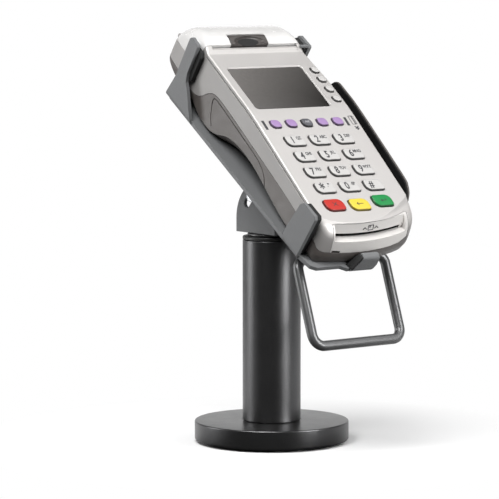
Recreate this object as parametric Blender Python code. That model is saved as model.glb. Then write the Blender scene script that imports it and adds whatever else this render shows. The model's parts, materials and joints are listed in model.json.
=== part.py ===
"""Card payment terminal with a built-in receipt printer, gripped by a folded steel plate that tilts and
turns on a round pole with a weighted disc foot.

Lengths in this file are millimetres and are turned into metres when a mesh is made.
World frame: origin under the centre of the foot, X across the terminal, -Y toward the customer, Z up.
Terminal frame: x across, y up the slope of the grip plate, z square to the plate, zero on its upper face.
"""

import math

import bmesh
import bpy
from mathutils import Vector

MM = 0.001
GAP = 0.3

# Stand
FOOT_RADIUS = 51.0
FOOT_TOP = 14.0
PAD_RADIUS = 46.5
PAD_THICKNESS = 1.0
PAD_SEGMENTS = 45
POLE_RADIUS = 19.2
POLE_BORE = 16.7
POLE_TOP = 134.2
CAP_TOP = 136.6
SWIVEL_TOP = 138.4
FOOT_SEGMENTS = 60
POLE_SEGMENTS = 44

# Tilting yoke
PIVOT_Y = -5.0
PIVOT_Z = 148.0
YOKE_HALF = 14.0
YOKE_SHEET = 2.5
YOKE_RADIUS = 25.3
YOKE_FRONT = -21.0
YOKE_REAR = 20.3
YOKE_FLOOR = 138.7
SLOT_RADIUS = 17.0
SLOT_WIDTH = 5.6
SLOT_FROM = 28.0
SLOT_TO = 80.5
LOCK_ANGLE = 66.0

# Terminal placement
SLOPE = 35.0
FRAME_Y = 16.15
FRAME_Z = 205.17
KEYPAD_SLOPE = 7.78
KEYPAD_Y = -66.2
KEYPAD_Z = 34.7
DISPLAY_SLOPE = 2.9
DISPLAY_Y = -29.4
DISPLAY_Z = 39.7

# Grip plate
SHEET = 2.5
ARM_LEFT = -46.55
ARM_RIGHT = 43.05
HOOK_LEFT = -15.4
HOOK_RIGHT = 4.4
HOOK_Y = -141.75
HOOK_TOP = 8.65
HANDLE_HALF = 36.0
HANDLE_ROD = 3.3
HANDLE_TOP = (-116.0, -13.0)
HANDLE_LOW = (-161.8, -45.8)
HANGER_LEFT = (-23.0, -20.5)
HANGER_RIGHT = (18.5, 21.0)

# Terminal case
WALL = 2.4
CASE_FRONT = -137.0
COVER_FRONT = 33.8
COVER_FLOOR = 29.05
HINGE_Y = 66.2
HINGE_Z = 28.9
HINGE_RADIUS = 2.0

# Keys
KEY_X = -1.1
KEY_PITCH_X = 20.0
KEY_PITCH_Y = 13.85
KEY_TOP_ROW = 9.5
KEY_WIDTH = 14.9
KEY_DEPTH = 8.8
KEY_RISE = 1.5
KEY_SINK = 3.6
KEY_CLEAR = 0.35
COMMAND_WIDTH = 15.0
COMMAND_DEPTH = 9.4
COMMAND_ROWS = (-46.9, -47.8, -45.8)
COMMAND_SHIFT = -1.1
FUNCTION_X = -28.1
FUNCTION_PITCH = 12.8
FUNCTION_Y = 25.0
FUNCTION_WIDTH = 7.6
FUNCTION_DEPTH = 6.4
SCREEN_X = 35.2
SCREEN_ROWS = (38.0, 28.6, 18.6, 8.8)

# Receipt printer
ROLL_Y = 46.4
ROLL_Z = 23.5
ROLL_RADIUS = 14.4
PLATEN_Y = 37.0
PLATEN_Z = 39.0
IDLER_Y = 30.5
IDLER_Z = 29.5
PLATEN_TEETH = 12
IDLER_TEETH = 24
GEAR_MODULE = 0.6
LATCH_Y = 41.2
LATCH_Z = 45.4
LATCH_LEFT = -20.0
LATCH_RIGHT = 11.0
AXLE_RADIUS = 1.2

# Chip-card slot
SLOT_Z = 17.6
SLOT_HALF = 28.0
BEZEL_TOP = 24.0
BEZEL_LEFT = -31.5
BEZEL_RIGHT = 34.0
BEZEL_REAR = -124.0
RAIL_INSIDE = 45.3
RAIL_OUTSIDE = 47.6

# Screws and bolts
BOLT_HOLE = 3.3
TILT_SHANK = 3.0
LOCK_SHANK = 2.4

# Stations of the case along y: y, half width left, half width right, bottom, top,
# bottom corner run, bottom corner rise, top corner radius. The nose falls back toward the swipe rail,
# and both lower edges arch upward as a finger recess.
STATIONS = (
    (-137.0, 28.0, -2.0, 1.2, 7.0, 2.5, 2.5, 2.0),
    (-136.0, 35.0, 7.0, 0.6, 12.0, 2.5, 2.5, 3.0),
    (-134.3, 38.6, 15.5, 0.3, 18.5, 2.5, 2.5, 5.0),
    (-131.5, 40.4, 26.0, 0.3, 23.2, 2.5, 2.5, 7.5),
    (-127.0, 41.1, 38.0, 0.3, 26.2, 2.5, 2.5, 8.0),
    (-121.0, 41.3, 41.0, 0.3, 27.3, 2.5, 2.5, 6.5),
    (-113.0, 41.4, 41.4, 0.3, 28.36, 2.5, 2.0, 4.0),
    (-104.0, 41.4, 41.4, 0.3, 29.55, 4.0, 2.4, 2.0),
    (-95.0, 41.4, 41.4, 0.3, 30.77, 6.0, 3.6, 1.5),
    (-84.0, 41.4, 41.4, 0.3, 32.28, 9.0, 5.6, 1.5),
    (-72.0, 41.4, 41.4, 0.3, 33.92, 12.5, 8.2, 1.5),
    (-59.0, 41.4, 41.4, 0.3, 35.68, 16.0, 11.3, 1.5),
    (-47.0, 41.4, 41.4, 0.3, 37.32, 18.0, 13.3, 1.5),
    (-36.0, 41.4, 41.4, 0.3, 38.81, 18.0, 13.7, 1.5),
    (-27.0, 41.4, 41.4, 0.3, 39.82, 17.0, 12.9, 1.5),
    (-18.0, 41.4, 41.4, 0.3, 40.27, 15.0, 10.6, 1.5),
    (-9.0, 41.4, 41.4, 0.3, 40.73, 9.0, 5.4, 1.5),
    (0.0, 41.4, 41.2, 0.3, 41.18, 5.0, 2.6, 1.5),
    (12.0, 41.4, 40.0, 0.3, 41.79, 5.0, 3.5, 1.5),
    (28.0, 41.4, 38.6, 0.3, 42.6, 9.0, 9.0, 1.6),
    (33.0, 41.35, 38.4, 0.3, 45.4, 9.0, 9.0, 3.0),
    (40.0, 41.2, 38.2, 0.4, 47.6, 9.0, 9.0, 6.0),
    (48.0, 41.0, 38.0, 0.8, 47.0, 9.0, 9.0, 8.0),
    (56.0, 40.5, 37.7, 2.4, 43.8, 9.0, 9.0, 8.5),
    (61.5, 39.6, 37.0, 5.0, 38.8, 8.0, 8.0, 8.0),
    (64.5, 38.4, 36.0, 9.0, 33.6, 6.0, 6.0, 6.0),
    (66.0, 36.8, 34.8, 13.0, 28.6, 4.0, 4.0, 3.0),
)
# Power of the curve that rounds the lower edges: two is an ellipse, one is a flat chamfer
EDGE_POWER = 1.15

# Line where the dark lower case meets the light upper case: y, z
PARTING = (
    (-150.0, 9.3),
    (-133.0, 9.3),
    (-126.0, 13.6),
    (-102.0, 16.6),
    (-88.0, 18.5),
    (-40.0, 23.1),
    (-12.0, 25.6),
    (2.0, 26.2),
    (9.0, 25.2),
    (14.0, 22.0),
    (18.0, 16.5),
    (22.0, 13.2),
    (28.0, 12.2),
    (36.0, 13.0),
    (50.0, 14.6),
    (80.0, 15.5),
)

for leftover in list(bpy.data.objects):
    bpy.data.objects.remove(leftover)


# ---------------------------------------------------------------- outlines


def arc(centre, radius, start, end, steps):
    """Points on a circle from one angle to another, in degrees."""
    angles = (math.radians(start + (end - start) * i / steps) for i in range(steps + 1))
    return [(centre[0] + radius * math.cos(a), centre[1] + radius * math.sin(a)) for a in angles]


def rounded_rectangle(x, y, width, depth, radius, steps=3):
    right, left = x + width / 2 - radius, x - width / 2 + radius
    rear, front = y + depth / 2 - radius, y - depth / 2 + radius
    points = arc((right, rear), radius, 0, 90, steps)
    points += arc((left, rear), radius, 90, 180, steps)
    points += arc((left, front), radius, 180, 270, steps)
    points += arc((right, front), radius, 270, 360, steps)
    return points


def span(x0, x1, y0, y1):
    return [(x0, y0), (x1, y0), (x1, y1), (x0, y1)]


def fillet(points, radii, steps, closed=False):
    """The path with each corner replaced by an arc. The points may be flat or solid."""
    path = [Vector(p) for p in points]
    out = []
    count = len(path)
    for i, here in enumerate(path):
        radius = radii[i]
        if radius == 0 or (not closed and i in (0, count - 1)):
            out.append(here)
            continue
        back = (path[i - 1] - here).normalized()
        ahead = (path[(i + 1) % count] - here).normalized()
        half = back.angle(ahead) / 2
        centre = here + (back + ahead).normalized() * (radius / math.sin(half))
        start = here + back * (radius / math.tan(half)) - centre
        end = here + ahead * (radius / math.tan(half)) - centre
        sweep = start.angle(end)
        for k in range(steps + 1):
            share = k / steps
            blend = math.sin((1 - share) * sweep) * start + math.sin(share * sweep) * end
            out.append(centre + blend / math.sin(sweep))
    return out


def strip(points, radii, thickness, steps=4):
    """Outline of a bent sheet: a flat path thickened by half its gauge on each side."""
    path = fillet(points, radii, steps)
    sides = ([], [])
    for i, here in enumerate(path):
        before = (here - path[i - 1]).normalized() if i else None
        after = (path[i + 1] - here).normalized() if i < len(path) - 1 else None
        way = (before or after) + (after or before)
        way.normalize()
        normal = Vector((-way.y, way.x))
        stretch = 1 / max(0.2, normal.dot(Vector((-(after or before).y, (after or before).x))))
        for side, sign in zip(sides, (1, -1)):
            side.append(here + normal * (sign * stretch * thickness / 2))
    return [tuple(p) for p in sides[0]] + [tuple(p) for p in reversed(sides[1])]


def gear_outline(teeth, module):
    """Straight-sided teeth about the origin."""
    tip = module * teeth / 2
    root = tip - 2 * module
    points = []
    for i in range(teeth):
        for share, radius in ((0.0, root), (0.25, root), (0.4, tip), (0.6, tip)):
            angle = 2 * math.pi * (i + share + 0.25) / teeth
            points.append((radius * math.cos(angle), radius * math.sin(angle)))
    return points


# ---------------------------------------------------------------- meshes

AXES = {"x": lambda a, b, c: (c, a, b), "y": lambda a, b, c: (a, c, b), "z": lambda a, b, c: (a, b, c)}


def loft(rings, shape=None, endless=False):
    """A closed body through rings of equally many points, capped at both ends or joined end to end."""
    shape = shape or bmesh.new()
    made = [[shape.verts.new(p) for p in ring] for ring in rings]
    for low, high in zip(made, made[1:] + made[:1] if endless else made[1:]):
        for i in range(len(low)):
            j = (i + 1) % len(low)
            shape.faces.new((low[i], low[j], high[j], high[i]))
    if not endless:
        shape.faces.new(made[0])
        shape.faces.new(made[-1])
    return shape


def prism(outline, low, high, axis, shape=None):
    """An outline drawn across the axis and pushed along it."""
    place = AXES[axis]
    return loft([[place(a, b, c) for a, b in outline] for c in (low, high)], shape)


def box(x, y, z, shape=None):
    return prism(span(x[0], x[1], y[0], y[1]), z[0], z[1], "z", shape)


def cylinder(radius, low, high, axis, centre=(0, 0), segments=24, shape=None):
    outline = arc(centre, radius, 0, 360, segments)[:-1]
    return prism(outline, low, high, axis, shape)


def turned(profile, segments, ring=False):
    """A body turned about z. A ring's profile is a closed loop clear of the axis."""
    shape = bmesh.new()
    rows = []
    for radius, z in profile:
        if radius == 0:
            rows.append([shape.verts.new((0, 0, z))] * segments)
            continue
        angles = (2 * math.pi * i / segments for i in range(segments))
        rows.append([shape.verts.new((radius * math.cos(a), radius * math.sin(a), z)) for a in angles])
    pairs = list(zip(rows, rows[1:]))
    if ring:
        pairs.append((rows[-1], rows[0]))
    for low, high in pairs:
        for i in range(segments):
            j = (i + 1) % segments
            corners = []
            for vert in (low[i], low[j], high[j], high[i]):
                if vert not in corners:
                    corners.append(vert)
            shape.faces.new(corners)
    return shape


def ring_bar(path, radius, segments):
    """A round bar swept along a flat closed path."""
    count = len(path)
    flat = (path[1] - path[0]).cross(path[count // 2] - path[0]).normalized()
    rings = []
    for i, here in enumerate(path):
        ahead = (path[(i + 1) % count] - path[i - 1]).normalized()
        out = ahead.cross(flat)
        angles = (2 * math.pi * k / segments for k in range(segments))
        rings.append([here + radius * (math.cos(a) * out + math.sin(a) * flat) for a in angles])
    return loft(rings, endless=True)


# ---------------------------------------------------------------- objects


def empty(name, parent=None, at=(0, 0, 0), turn_x=0.0):
    holder = bpy.data.objects.new(name, None)
    holder.location = [MM * v for v in at]
    holder.rotation_euler = (math.radians(turn_x), 0, 0)
    holder.parent = parent
    bpy.context.collection.objects.link(holder)
    return holder


def colour(name, rgb, roughness, metallic=0.0, transmission=0.0):
    material = bpy.data.materials.new(name)
    material.use_nodes = True
    shader = material.node_tree.nodes["Principled BSDF"]
    shader.inputs["Base Color"].default_value = (*rgb, 1)
    shader.inputs["Roughness"].default_value = roughness
    shader.inputs["Metallic"].default_value = metallic
    shader.inputs["Transmission Weight"].default_value = transmission
    material.diffuse_color = (*rgb, 1)
    return material


def solid(name, shape, parent=None, origin=(0, 0, 0), material=None):
    """Turns a shape drawn in its parent's frame into an object whose own origin is the given point."""
    bmesh.ops.translate(shape, verts=shape.verts, vec=[-v for v in origin])
    bmesh.ops.scale(shape, verts=shape.verts, vec=(MM, MM, MM))
    bmesh.ops.recalc_face_normals(shape, faces=shape.faces)
    mesh = bpy.data.meshes.new(name)
    shape.to_mesh(mesh)
    shape.free()
    made = bpy.data.objects.new(name, mesh)
    made.location = [MM * v for v in origin]
    made.parent = parent
    bpy.context.collection.objects.link(made)
    if material:
        mesh.materials.append(material)
    return made


def combine(target, tool, operation):
    """Cuts, joins or crosses the target with another object, and keeps the result as its mesh."""
    tool.hide_render = True
    modifier = target.modifiers.new(operation.lower(), "BOOLEAN")
    modifier.operation = operation
    modifier.solver = "EXACT"
    modifier.object = tool
    bpy.context.view_layer.update()
    graph = bpy.context.evaluated_depsgraph_get()
    result = bpy.data.meshes.new_from_object(target.evaluated_get(graph))
    target.modifiers.clear()
    target.data = result
    bpy.data.objects.remove(tool)


def cut(target, shape, parent=None):
    combine(target, solid(f"{target.name}_tool", shape, parent or target.parent), "DIFFERENCE")


def join(target, shape, parent=None):
    combine(target, solid(f"{target.name}_tool", shape, parent or target.parent), "UNION")


def keep(target, shape, parent=None):
    combine(target, solid(f"{target.name}_tool", shape, parent or target.parent), "INTERSECT")


def smooth(target, angle=32):
    for face in target.data.polygons:
        face.use_smooth = True
    target.data.set_sharp_from_angle(angle=math.radians(angle))


# ---------------------------------------------------------------- materials

BLACK_PAINT = colour("black_powder_coat", (0.022, 0.022, 0.024), 0.48)
GREY_PAINT = colour("grey_powder_coat", (0.16, 0.165, 0.17), 0.42)
STEEL = colour("zinc_plated_steel", (0.55, 0.56, 0.58), 0.32, 1.0)
RUBBER = colour("black_rubber", (0.012, 0.012, 0.012), 0.8)
SILVER_PLASTIC = colour("silver_plastic", (0.62, 0.60, 0.58), 0.38)
DARK_PLASTIC = colour("dark_grey_plastic", (0.11, 0.10, 0.09), 0.45)
BLACK_PLASTIC = colour("black_plastic", (0.02, 0.02, 0.02), 0.4)
WINDOW = colour("display_window", (0.06, 0.058, 0.055), 0.12)
GLASS = colour("display_glass", (0.16, 0.18, 0.15), 0.2)
BOARD = colour("green_board", (0.02, 0.13, 0.05), 0.5)
KEY_LIGHT = colour("light_key", (0.72, 0.72, 0.72), 0.5)
KEY_PURPLE = colour("purple_key", (0.24, 0.14, 0.4), 0.5)
KEY_DARK = colour("dark_key", (0.09, 0.09, 0.1), 0.5)
KEY_RED = colour("red_key", (0.65, 0.03, 0.03), 0.4)
KEY_YELLOW = colour("yellow_key", (0.85, 0.55, 0.03), 0.4)
KEY_GREEN = colour("green_key", (0.02, 0.38, 0.07), 0.4)
MEMBRANE = colour("silicone_sheet", (0.3, 0.3, 0.3), 0.7)
PAPER = colour("paper", (0.85, 0.85, 0.83), 0.9)
CLEAR = colour("frosted_cover", (0.86, 0.86, 0.85), 0.3, 0.0, 0.35)
NYLON = colour("white_nylon", (0.75, 0.74, 0.7), 0.5)

# ---------------------------------------------------------------- stand

foot = turned(
    (
        (8.9, PAD_THICKNESS + GAP),
        (FOOT_RADIUS - 0.9, PAD_THICKNESS + GAP),
        (FOOT_RADIUS, PAD_THICKNESS + 1.2),
        (FOOT_RADIUS, FOOT_TOP - 1.2),
        (FOOT_RADIUS - 0.4, FOOT_TOP - 0.4),
        (FOOT_RADIUS - 1.3, FOOT_TOP),
        (4.4, FOOT_TOP),
        (4.4, 7.5),
        (8.9, 2.7),
    ),
    FOOT_SEGMENTS,
    True,
)
base_disc = solid("base_disc", foot, material=BLACK_PAINT)
pad = cylinder(PAD_RADIUS, 0, PAD_THICKNESS, "z", segments=PAD_SEGMENTS)
base_pad = solid("base_pad", pad, material=RUBBER)
bolt = turned(((0, 1.6), (8.2, 1.6), (8.5, 2.2), (4.0, 7.0), (4.0, 28.0), (3.2, 29.0), (0, 29.0)), 24)
base_bolt = solid("base_bolt", bolt, material=STEEL)
tube = turned(
    (
        (4.5, FOOT_TOP + GAP),
        (POLE_RADIUS, FOOT_TOP + GAP),
        (POLE_RADIUS, POLE_TOP - 0.4),
        (POLE_RADIUS - 0.4, POLE_TOP),
        (POLE_BORE, POLE_TOP),
        (POLE_BORE, 22.0),
        (4.5, 22.0),
    ),
    POLE_SEGMENTS,
    True,
)
pole_tube = solid("pole_tube", tube, material=BLACK_PAINT)
cap = turned(
    (
        (5.3, 124.0),
        (POLE_BORE - GAP, 124.0),
        (POLE_BORE - GAP, POLE_TOP + GAP),
        (POLE_RADIUS, POLE_TOP + GAP),
        (POLE_RADIUS, CAP_TOP - 0.5),
        (POLE_RADIUS - 0.5, CAP_TOP),
        (5.3, CAP_TOP),
    ),
    POLE_SEGMENTS,
    True,
)
pole_cap = solid("pole_cap", cap, material=BLACK_PLASTIC)
hub = turned(
    ((0, 120.0), (7.5, 120.0), (7.5, 123.7), (5.0, 123.7), (5.0, CAP_TOP + GAP), (16.0, CAP_TOP + GAP),
     (16.0, SWIVEL_TOP), (0, SWIVEL_TOP)),
    40,
)
swivel_axis = empty("swivel_axis")
swivel_disc = solid("swivel_disc", hub, swivel_axis, material=BLACK_PAINT)

pivot = (PIVOT_Y, PIVOT_Z)
lean = math.degrees(math.acos((YOKE_FRONT - PIVOT_Y) / YOKE_RADIUS))
cheek = [(YOKE_REAR, YOKE_FLOOR), *arc(pivot, YOKE_RADIUS, 0, lean, 16), (YOKE_FRONT, YOKE_FLOOR)]
tilt_yoke = solid("tilt_yoke", prism(cheek, -YOKE_HALF, YOKE_HALF, "x"), swivel_axis, material=GREY_PAINT)
inside = YOKE_HALF - YOKE_SHEET
cut(tilt_yoke, box((-inside, inside), (-60, 60), (YOKE_FLOOR + 2.2, 200)))
slot = arc(pivot, SLOT_RADIUS + SLOT_WIDTH / 2, SLOT_FROM, SLOT_TO, 10)
slot += arc(pivot, SLOT_RADIUS - SLOT_WIDTH / 2, SLOT_TO, SLOT_FROM, 10)
cut(tilt_yoke, prism(slot, -30, 30, "x"))
cut(tilt_yoke, cylinder(BOLT_HOLE, -30, 30, "x", pivot, 20))


def through_bolt(name, parent, centre, shank, head, reach):
    """A bolt lying along x with its head on the left and its nut on the right, both outside the yoke."""
    outside = YOKE_HALF + GAP
    shape = turned(
        (
            (0, -outside - reach),
            (head - 0.6, -outside - reach),
            (head, -outside - reach + 0.7),
            (head, -outside),
            (shank, -outside),
            (shank, outside),
            (head - 0.4, outside),
            (head - 0.4, outside + reach),
            (0, outside + reach),
        ),
        20,
    )
    for vert in shape.verts:
        vert.co = Vector((vert.co.z, vert.co.x + centre[0], vert.co.y + centre[1]))
    return solid(name, shape, parent, (0, *centre), STEEL)


pin = cylinder(TILT_SHANK, -YOKE_HALF, YOKE_HALF, "x", pivot, 20)
tilt_pin = solid("tilt_pin", pin, swivel_axis, (0, *pivot), GREY_PAINT)

# ---------------------------------------------------------------- frames that tilt

tilt_axis = empty("tilt_axis", swivel_axis, (0, PIVOT_Y, PIVOT_Z))
terminal_frame = empty("terminal_frame", tilt_axis, (0, FRAME_Y - PIVOT_Y, FRAME_Z - PIVOT_Z), SLOPE)
keypad_frame = empty("keypad_frame", terminal_frame, (0, KEYPAD_Y, KEYPAD_Z), KEYPAD_SLOPE)
display_frame = empty("display_frame", terminal_frame, (0, DISPLAY_Y, DISPLAY_Z), DISPLAY_SLOPE)

slope_cos = math.cos(math.radians(SLOPE))
slope_sin = math.sin(math.radians(SLOPE))
pivot_y = (PIVOT_Y - FRAME_Y) * slope_cos + (PIVOT_Z - FRAME_Z) * slope_sin
pivot_z = -(PIVOT_Y - FRAME_Y) * slope_sin + (PIVOT_Z - FRAME_Z) * slope_cos
lock_at = arc((pivot_y, pivot_z), SLOT_RADIUS, LOCK_ANGLE - SLOPE, LOCK_ANGLE, 1)[0]

# ---------------------------------------------------------------- grip plate, bracket and handle

lock_bolt = through_bolt("lock_bolt", terminal_frame, lock_at, LOCK_SHANK, 4.4, 2.4)

ear_outer = YOKE_HALF - YOKE_SHEET - GAP
ear_inner = ear_outer - SHEET
ear = [(-70, -SHEET - GAP), (-26, -SHEET - GAP), (-28.5, -26), (-31.5, -31)]
ear += arc((pivot_y, pivot_z), 6.6, -35, -150, 8)
plate_bracket = solid(
    "plate_bracket", prism(ear, -ear_outer, ear_outer, "x"), terminal_frame, material=GREY_PAINT
)
cut(plate_bracket, box((-ear_inner, ear_inner), (-90, 0), (-60, -2 * SHEET - GAP)))
cut(plate_bracket, cylinder(BOLT_HOLE, -30, 30, "x", (pivot_y, pivot_z), 20))
cut(plate_bracket, cylinder(LOCK_SHANK + GAP, -30, 30, "x", lock_at, 20))

plate = [(-39.5, -138.2), (-43.4, -135.8), (-46, -125), (-46, 41), (-42, 45), (40, 45), (42, 42), (42, 12),
         (26, -8), (23, -126), (14, -134), (3, -138.2)]
plate = [tuple(p) for p in fillet(plate, [1.5, 1.5, 4, 3, 2, 2, 1, 6, 12, 6, 4, 2], 4, True)]
back_plate = solid("back_plate", prism(plate, -SHEET, 0, "z"), terminal_frame, material=GREY_PAINT)


def arm(path, radii, outline):
    """A sheet arm bent to the path (x, z) and trimmed to the outline (y, z)."""
    low = min(p[0] for p in outline) - 5
    high = max(p[0] for p in outline) + 5
    blank = solid("arm", prism(strip(path, radii, SHEET), low, high, "y"), terminal_frame)
    keep(blank, prism(outline, -80, 80, "x"))
    combine(back_plate, blank, "UNION")


upper_flap = [(9, -6), (44.5, -6), (44.5, -1), (41.8, 16), (43, 44.8), (41.5, 46.8), (34.0, 46.2),
              (33.0, 45.0), (32.4, 24.0), (30.6, 18.5), (26.4, 15), (13, 0.6)]
arm([(-38, -SHEET / 2), (ARM_LEFT, -SHEET / 2), (ARM_LEFT, 50)], [0, 2.4, 0], upper_flap)
right_flap = [(15, -6), (43.5, -6), (42, 16), (42.5, 44.6), (41, 46.2), (29.6, 46.2), (28.8, 45.2),
              (29.6, 20)]
arm([(34, -SHEET / 2), (ARM_RIGHT, -SHEET / 2), (ARM_RIGHT, 50)], [0, 2.4, 0], right_flap)
lower_flap = [(-125, -6), (-106, -6), (-106.4, 8), (-109.5, 29.0), (-112, 31.6), (-125, 31.6),
              (-126.8, 29.5)]
arm([(-38, -SHEET / 2), (ARM_LEFT, -SHEET / 2), (ARM_LEFT, 50)], [0, 2.4, 0], lower_flap)

hook_path = [(-128, -SHEET / 2), (HOOK_Y, -SHEET / 2), (HOOK_Y, HOOK_TOP), (HOOK_Y + 3.3, HOOK_TOP)]
hook = solid("hook", prism(strip(hook_path, [0, 1.6, 1.6, 0], SHEET), -20, 8, "x"), terminal_frame)
hook_face = [(HOOK_LEFT, -6), (1.4, -6), (1.4, -3), (HOOK_RIGHT, 3), (HOOK_RIGHT, 12), (-7.4, 12),
             (HOOK_LEFT, -3)]
keep(hook, prism(hook_face, -150, -120, "y"))
combine(back_plate, hook, "UNION")
flare = [(-22.5, -136), (-22.5, -138.0), (-20.5, -138.3), (-16, -141.5), (-10, -141.5), (-10, -136)]
join(back_plate, prism(flare, -SHEET, 0, "z"))
for reach in (HANGER_LEFT, HANGER_RIGHT):
    hanger = [(-122, -1), (-122, -12), (-119, -18), (-113, -18), (-110, -12), (-110, -1)]
    join(back_plate, prism(hanger, reach[0], reach[1], "x"))
cut(back_plate, cylinder(HANDLE_ROD + GAP, -30, 30, "x", HANDLE_TOP, 24))
join(back_plate, box((35.8, 42.1), (29.2, 31.4), (44.8, 46.0)))

pads = (
    ("pad_upper_left", (-45.0, -41.7), (29.2, 41.4), (20.0, 43.6)),
    ("pad_upper_right", (38.9, 41.5), (30.2, 41.2), (20.0, 43.6)),
    ("pad_lower_left", (-45.0, -41.9), (-126.0, -108.5), (2.0, 30.6)),
)
for name, x, y, z in pads:
    solid(name, box(x, y, z), terminal_frame, material=RUBBER)

hook_pad = [(-15.6, 0.4), (1.2, 0.4), (1.2, 7.1), (-10.6, 7.1)]
solid("hook_pad", prism(hook_pad, -140.2, -137.5, "y"), terminal_frame, material=RUBBER)

loop = [(-HANDLE_HALF, *HANDLE_TOP), (-HANDLE_HALF, *HANDLE_LOW), (HANDLE_HALF, *HANDLE_LOW),
        (HANDLE_HALF, *HANDLE_TOP)]
handle = solid("handle", ring_bar(fillet(loop, [6.5, 8, 7, 6.5], 5, True), HANDLE_ROD, 14), terminal_frame,
               material=BLACK_PAINT)

# ---------------------------------------------------------------- case


def case_ring(station, inset):
    y, left, right, bottom, top, run, rise, corner = station
    left -= inset
    right -= inset
    bottom += inset
    top -= inset
    thinner = 1 - inset * (1 / run + 1 / rise - math.hypot(1 / run, 1 / rise))
    run = max(run * thinner, 0.6)
    rise = max(rise * thinner, 0.6)
    corner = max(corner - inset, 0.8)
    power = 2 / EDGE_POWER
    turns = [math.radians(18 * k) for k in range(6)]
    ring = [(-left + run - run * math.cos(a) ** power, y, bottom + rise - rise * math.sin(a) ** power)
            for a in turns]
    ring += [(right - run + run * math.cos(a) ** power, y, bottom + rise - rise * math.sin(a) ** power)
             for a in reversed(turns)]
    for degrees in range(0, 91, 30):
        a = math.radians(degrees)
        ring.append((right - corner + corner * math.cos(a), y, top - corner + corner * math.sin(a)))
    for degrees in range(90, 181, 30):
        a = math.radians(degrees)
        ring.append((-left + corner + corner * math.cos(a), y, top - corner + corner * math.sin(a)))
    return ring


def case_body():
    return loft([case_ring(station, 0) for station in STATIONS])


def case_cavity():
    inner = [s for s in STATIONS if -132 < s[0] < 62]
    return loft([case_ring(station, WALL) for station in inner])


seam = strip(PARTING, [0] * len(PARTING), GAP)
above = seam[: len(PARTING)] + [(80, 80), (-150, 80)]
below = seam[: len(PARTING) - 1 : -1] + [(80, -20), (-150, -20)]

bottom_case = solid("bottom_case", case_body(), terminal_frame, material=DARK_PLASTIC)
keep(bottom_case, prism(below, -60, 60, "x"))
cut(bottom_case, case_cavity())

top_case = solid("top_case", case_body(), terminal_frame, material=SILVER_PLASTIC)
keep(top_case, prism(above, -60, 60, "x"))
cut(top_case, case_cavity())
cut(top_case, box((-60, 60), (COVER_FRONT - GAP, 90), (COVER_FLOOR - GAP, 80)))
bezel_room = (BEZEL_LEFT - GAP, BEZEL_RIGHT + GAP)
cut(top_case, box(bezel_room, (-150, BEZEL_REAR + GAP), (0, BEZEL_TOP + GAP)))
cut(top_case, box((-35.4, 33.4), (29.6, 34.5), (34, 80)))
cut(top_case, box((36, 60), (-66.3, -53.7), (27.2, 32.8)))

# Keys and their openings
number_keys = (("1", 0, 0), ("2", 1, 0), ("3", 2, 0), ("4", 0, 1), ("5", 1, 1), ("6", 2, 1), ("7", 0, 2),
               ("8", 1, 2), ("9", 2, 2), ("star", 0, 3), ("0", 1, 3), ("hash", 2, 3))
keypad = []
for name, column, row in number_keys:
    x = KEY_X + (column - 1) * KEY_PITCH_X
    y = KEY_TOP_ROW - row * KEY_PITCH_Y
    keypad.append((f"key_{name}", x, y, KEY_WIDTH, KEY_DEPTH, 2.8, KEY_LIGHT))
commands = (("cancel", KEY_RED), ("clear", KEY_YELLOW), ("enter", KEY_GREEN))
for column, (name, material) in enumerate(commands):
    x = KEY_X + (column - 1) * KEY_PITCH_X + COMMAND_SHIFT
    keypad.append((f"key_{name}", x, COMMAND_ROWS[column], COMMAND_WIDTH, COMMAND_DEPTH, 3.4, material))
function_colours = (KEY_PURPLE, KEY_PURPLE, KEY_DARK, KEY_PURPLE, KEY_PURPLE)
for column, material in enumerate(function_colours):
    x = FUNCTION_X + column * FUNCTION_PITCH
    keypad.append((f"function_key_{column + 1}", x, FUNCTION_Y, FUNCTION_WIDTH, FUNCTION_DEPTH, 2.8, material))
screen_keys = []
for row, y in enumerate(SCREEN_ROWS):
    screen_keys.append((f"screen_key_{row + 1}", SCREEN_X, y, 5.6, 5.4, 2.2, KEY_LIGHT))


def key_holes(keys):
    shape = bmesh.new()
    for _, x, y, width, depth, radius, _ in keys:
        grown = rounded_rectangle(x, y, width + 2 * KEY_CLEAR, depth + 2 * KEY_CLEAR, radius + KEY_CLEAR)
        prism(grown, -8, 8, "z", shape)
    return shape


def key_cap(parent, name, x, y, width, depth, radius, material, sink):
    rings = []
    for inset, z in ((0, -sink), (0, KEY_RISE - 0.9), (0.3, KEY_RISE - 0.25), (0.9, KEY_RISE)):
        outline = rounded_rectangle(x, y, width - 2 * inset, depth - 2 * inset, radius - inset)
        rings.append([(a, b, z) for a, b in outline])
    return solid(name, loft(rings), parent, (x, y, 0), material)


cut(top_case, key_holes(keypad), keypad_frame)
window_hole = prism(rounded_rectangle(-3.65, 23.05, 61.3, 40.3, 1.6), -8, 8, "z")
cut(top_case, window_hole, display_frame)
cut(top_case, key_holes(screen_keys), display_frame)
for name, x, y, width, depth, radius, material in keypad:
    smooth(key_cap(keypad_frame, name, x, y, width, depth, radius, material, KEY_SINK))
for name, x, y, width, depth, radius, material in screen_keys:
    smooth(key_cap(display_frame, name, x, y, width, depth, radius, material, 5.2))

# Rear hinge: two knuckles on the upper case, one barrel on the paper cover
HINGE = (HINGE_Y, HINGE_Z)
PLATEN = (PLATEN_Y, PLATEN_Z)
cut(top_case, cylinder(HINGE_RADIUS + 0.4, -30.3, 28.3, "x", HINGE, 20))
for low, high in ((-35.5, -30.3), (28.3, 33.5)):
    join(top_case, cylinder(HINGE_RADIUS, low, high, "x", HINGE, 20))
cut(top_case, cylinder(1.3, -34.6, 32.6, "x", HINGE, 16))

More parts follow.
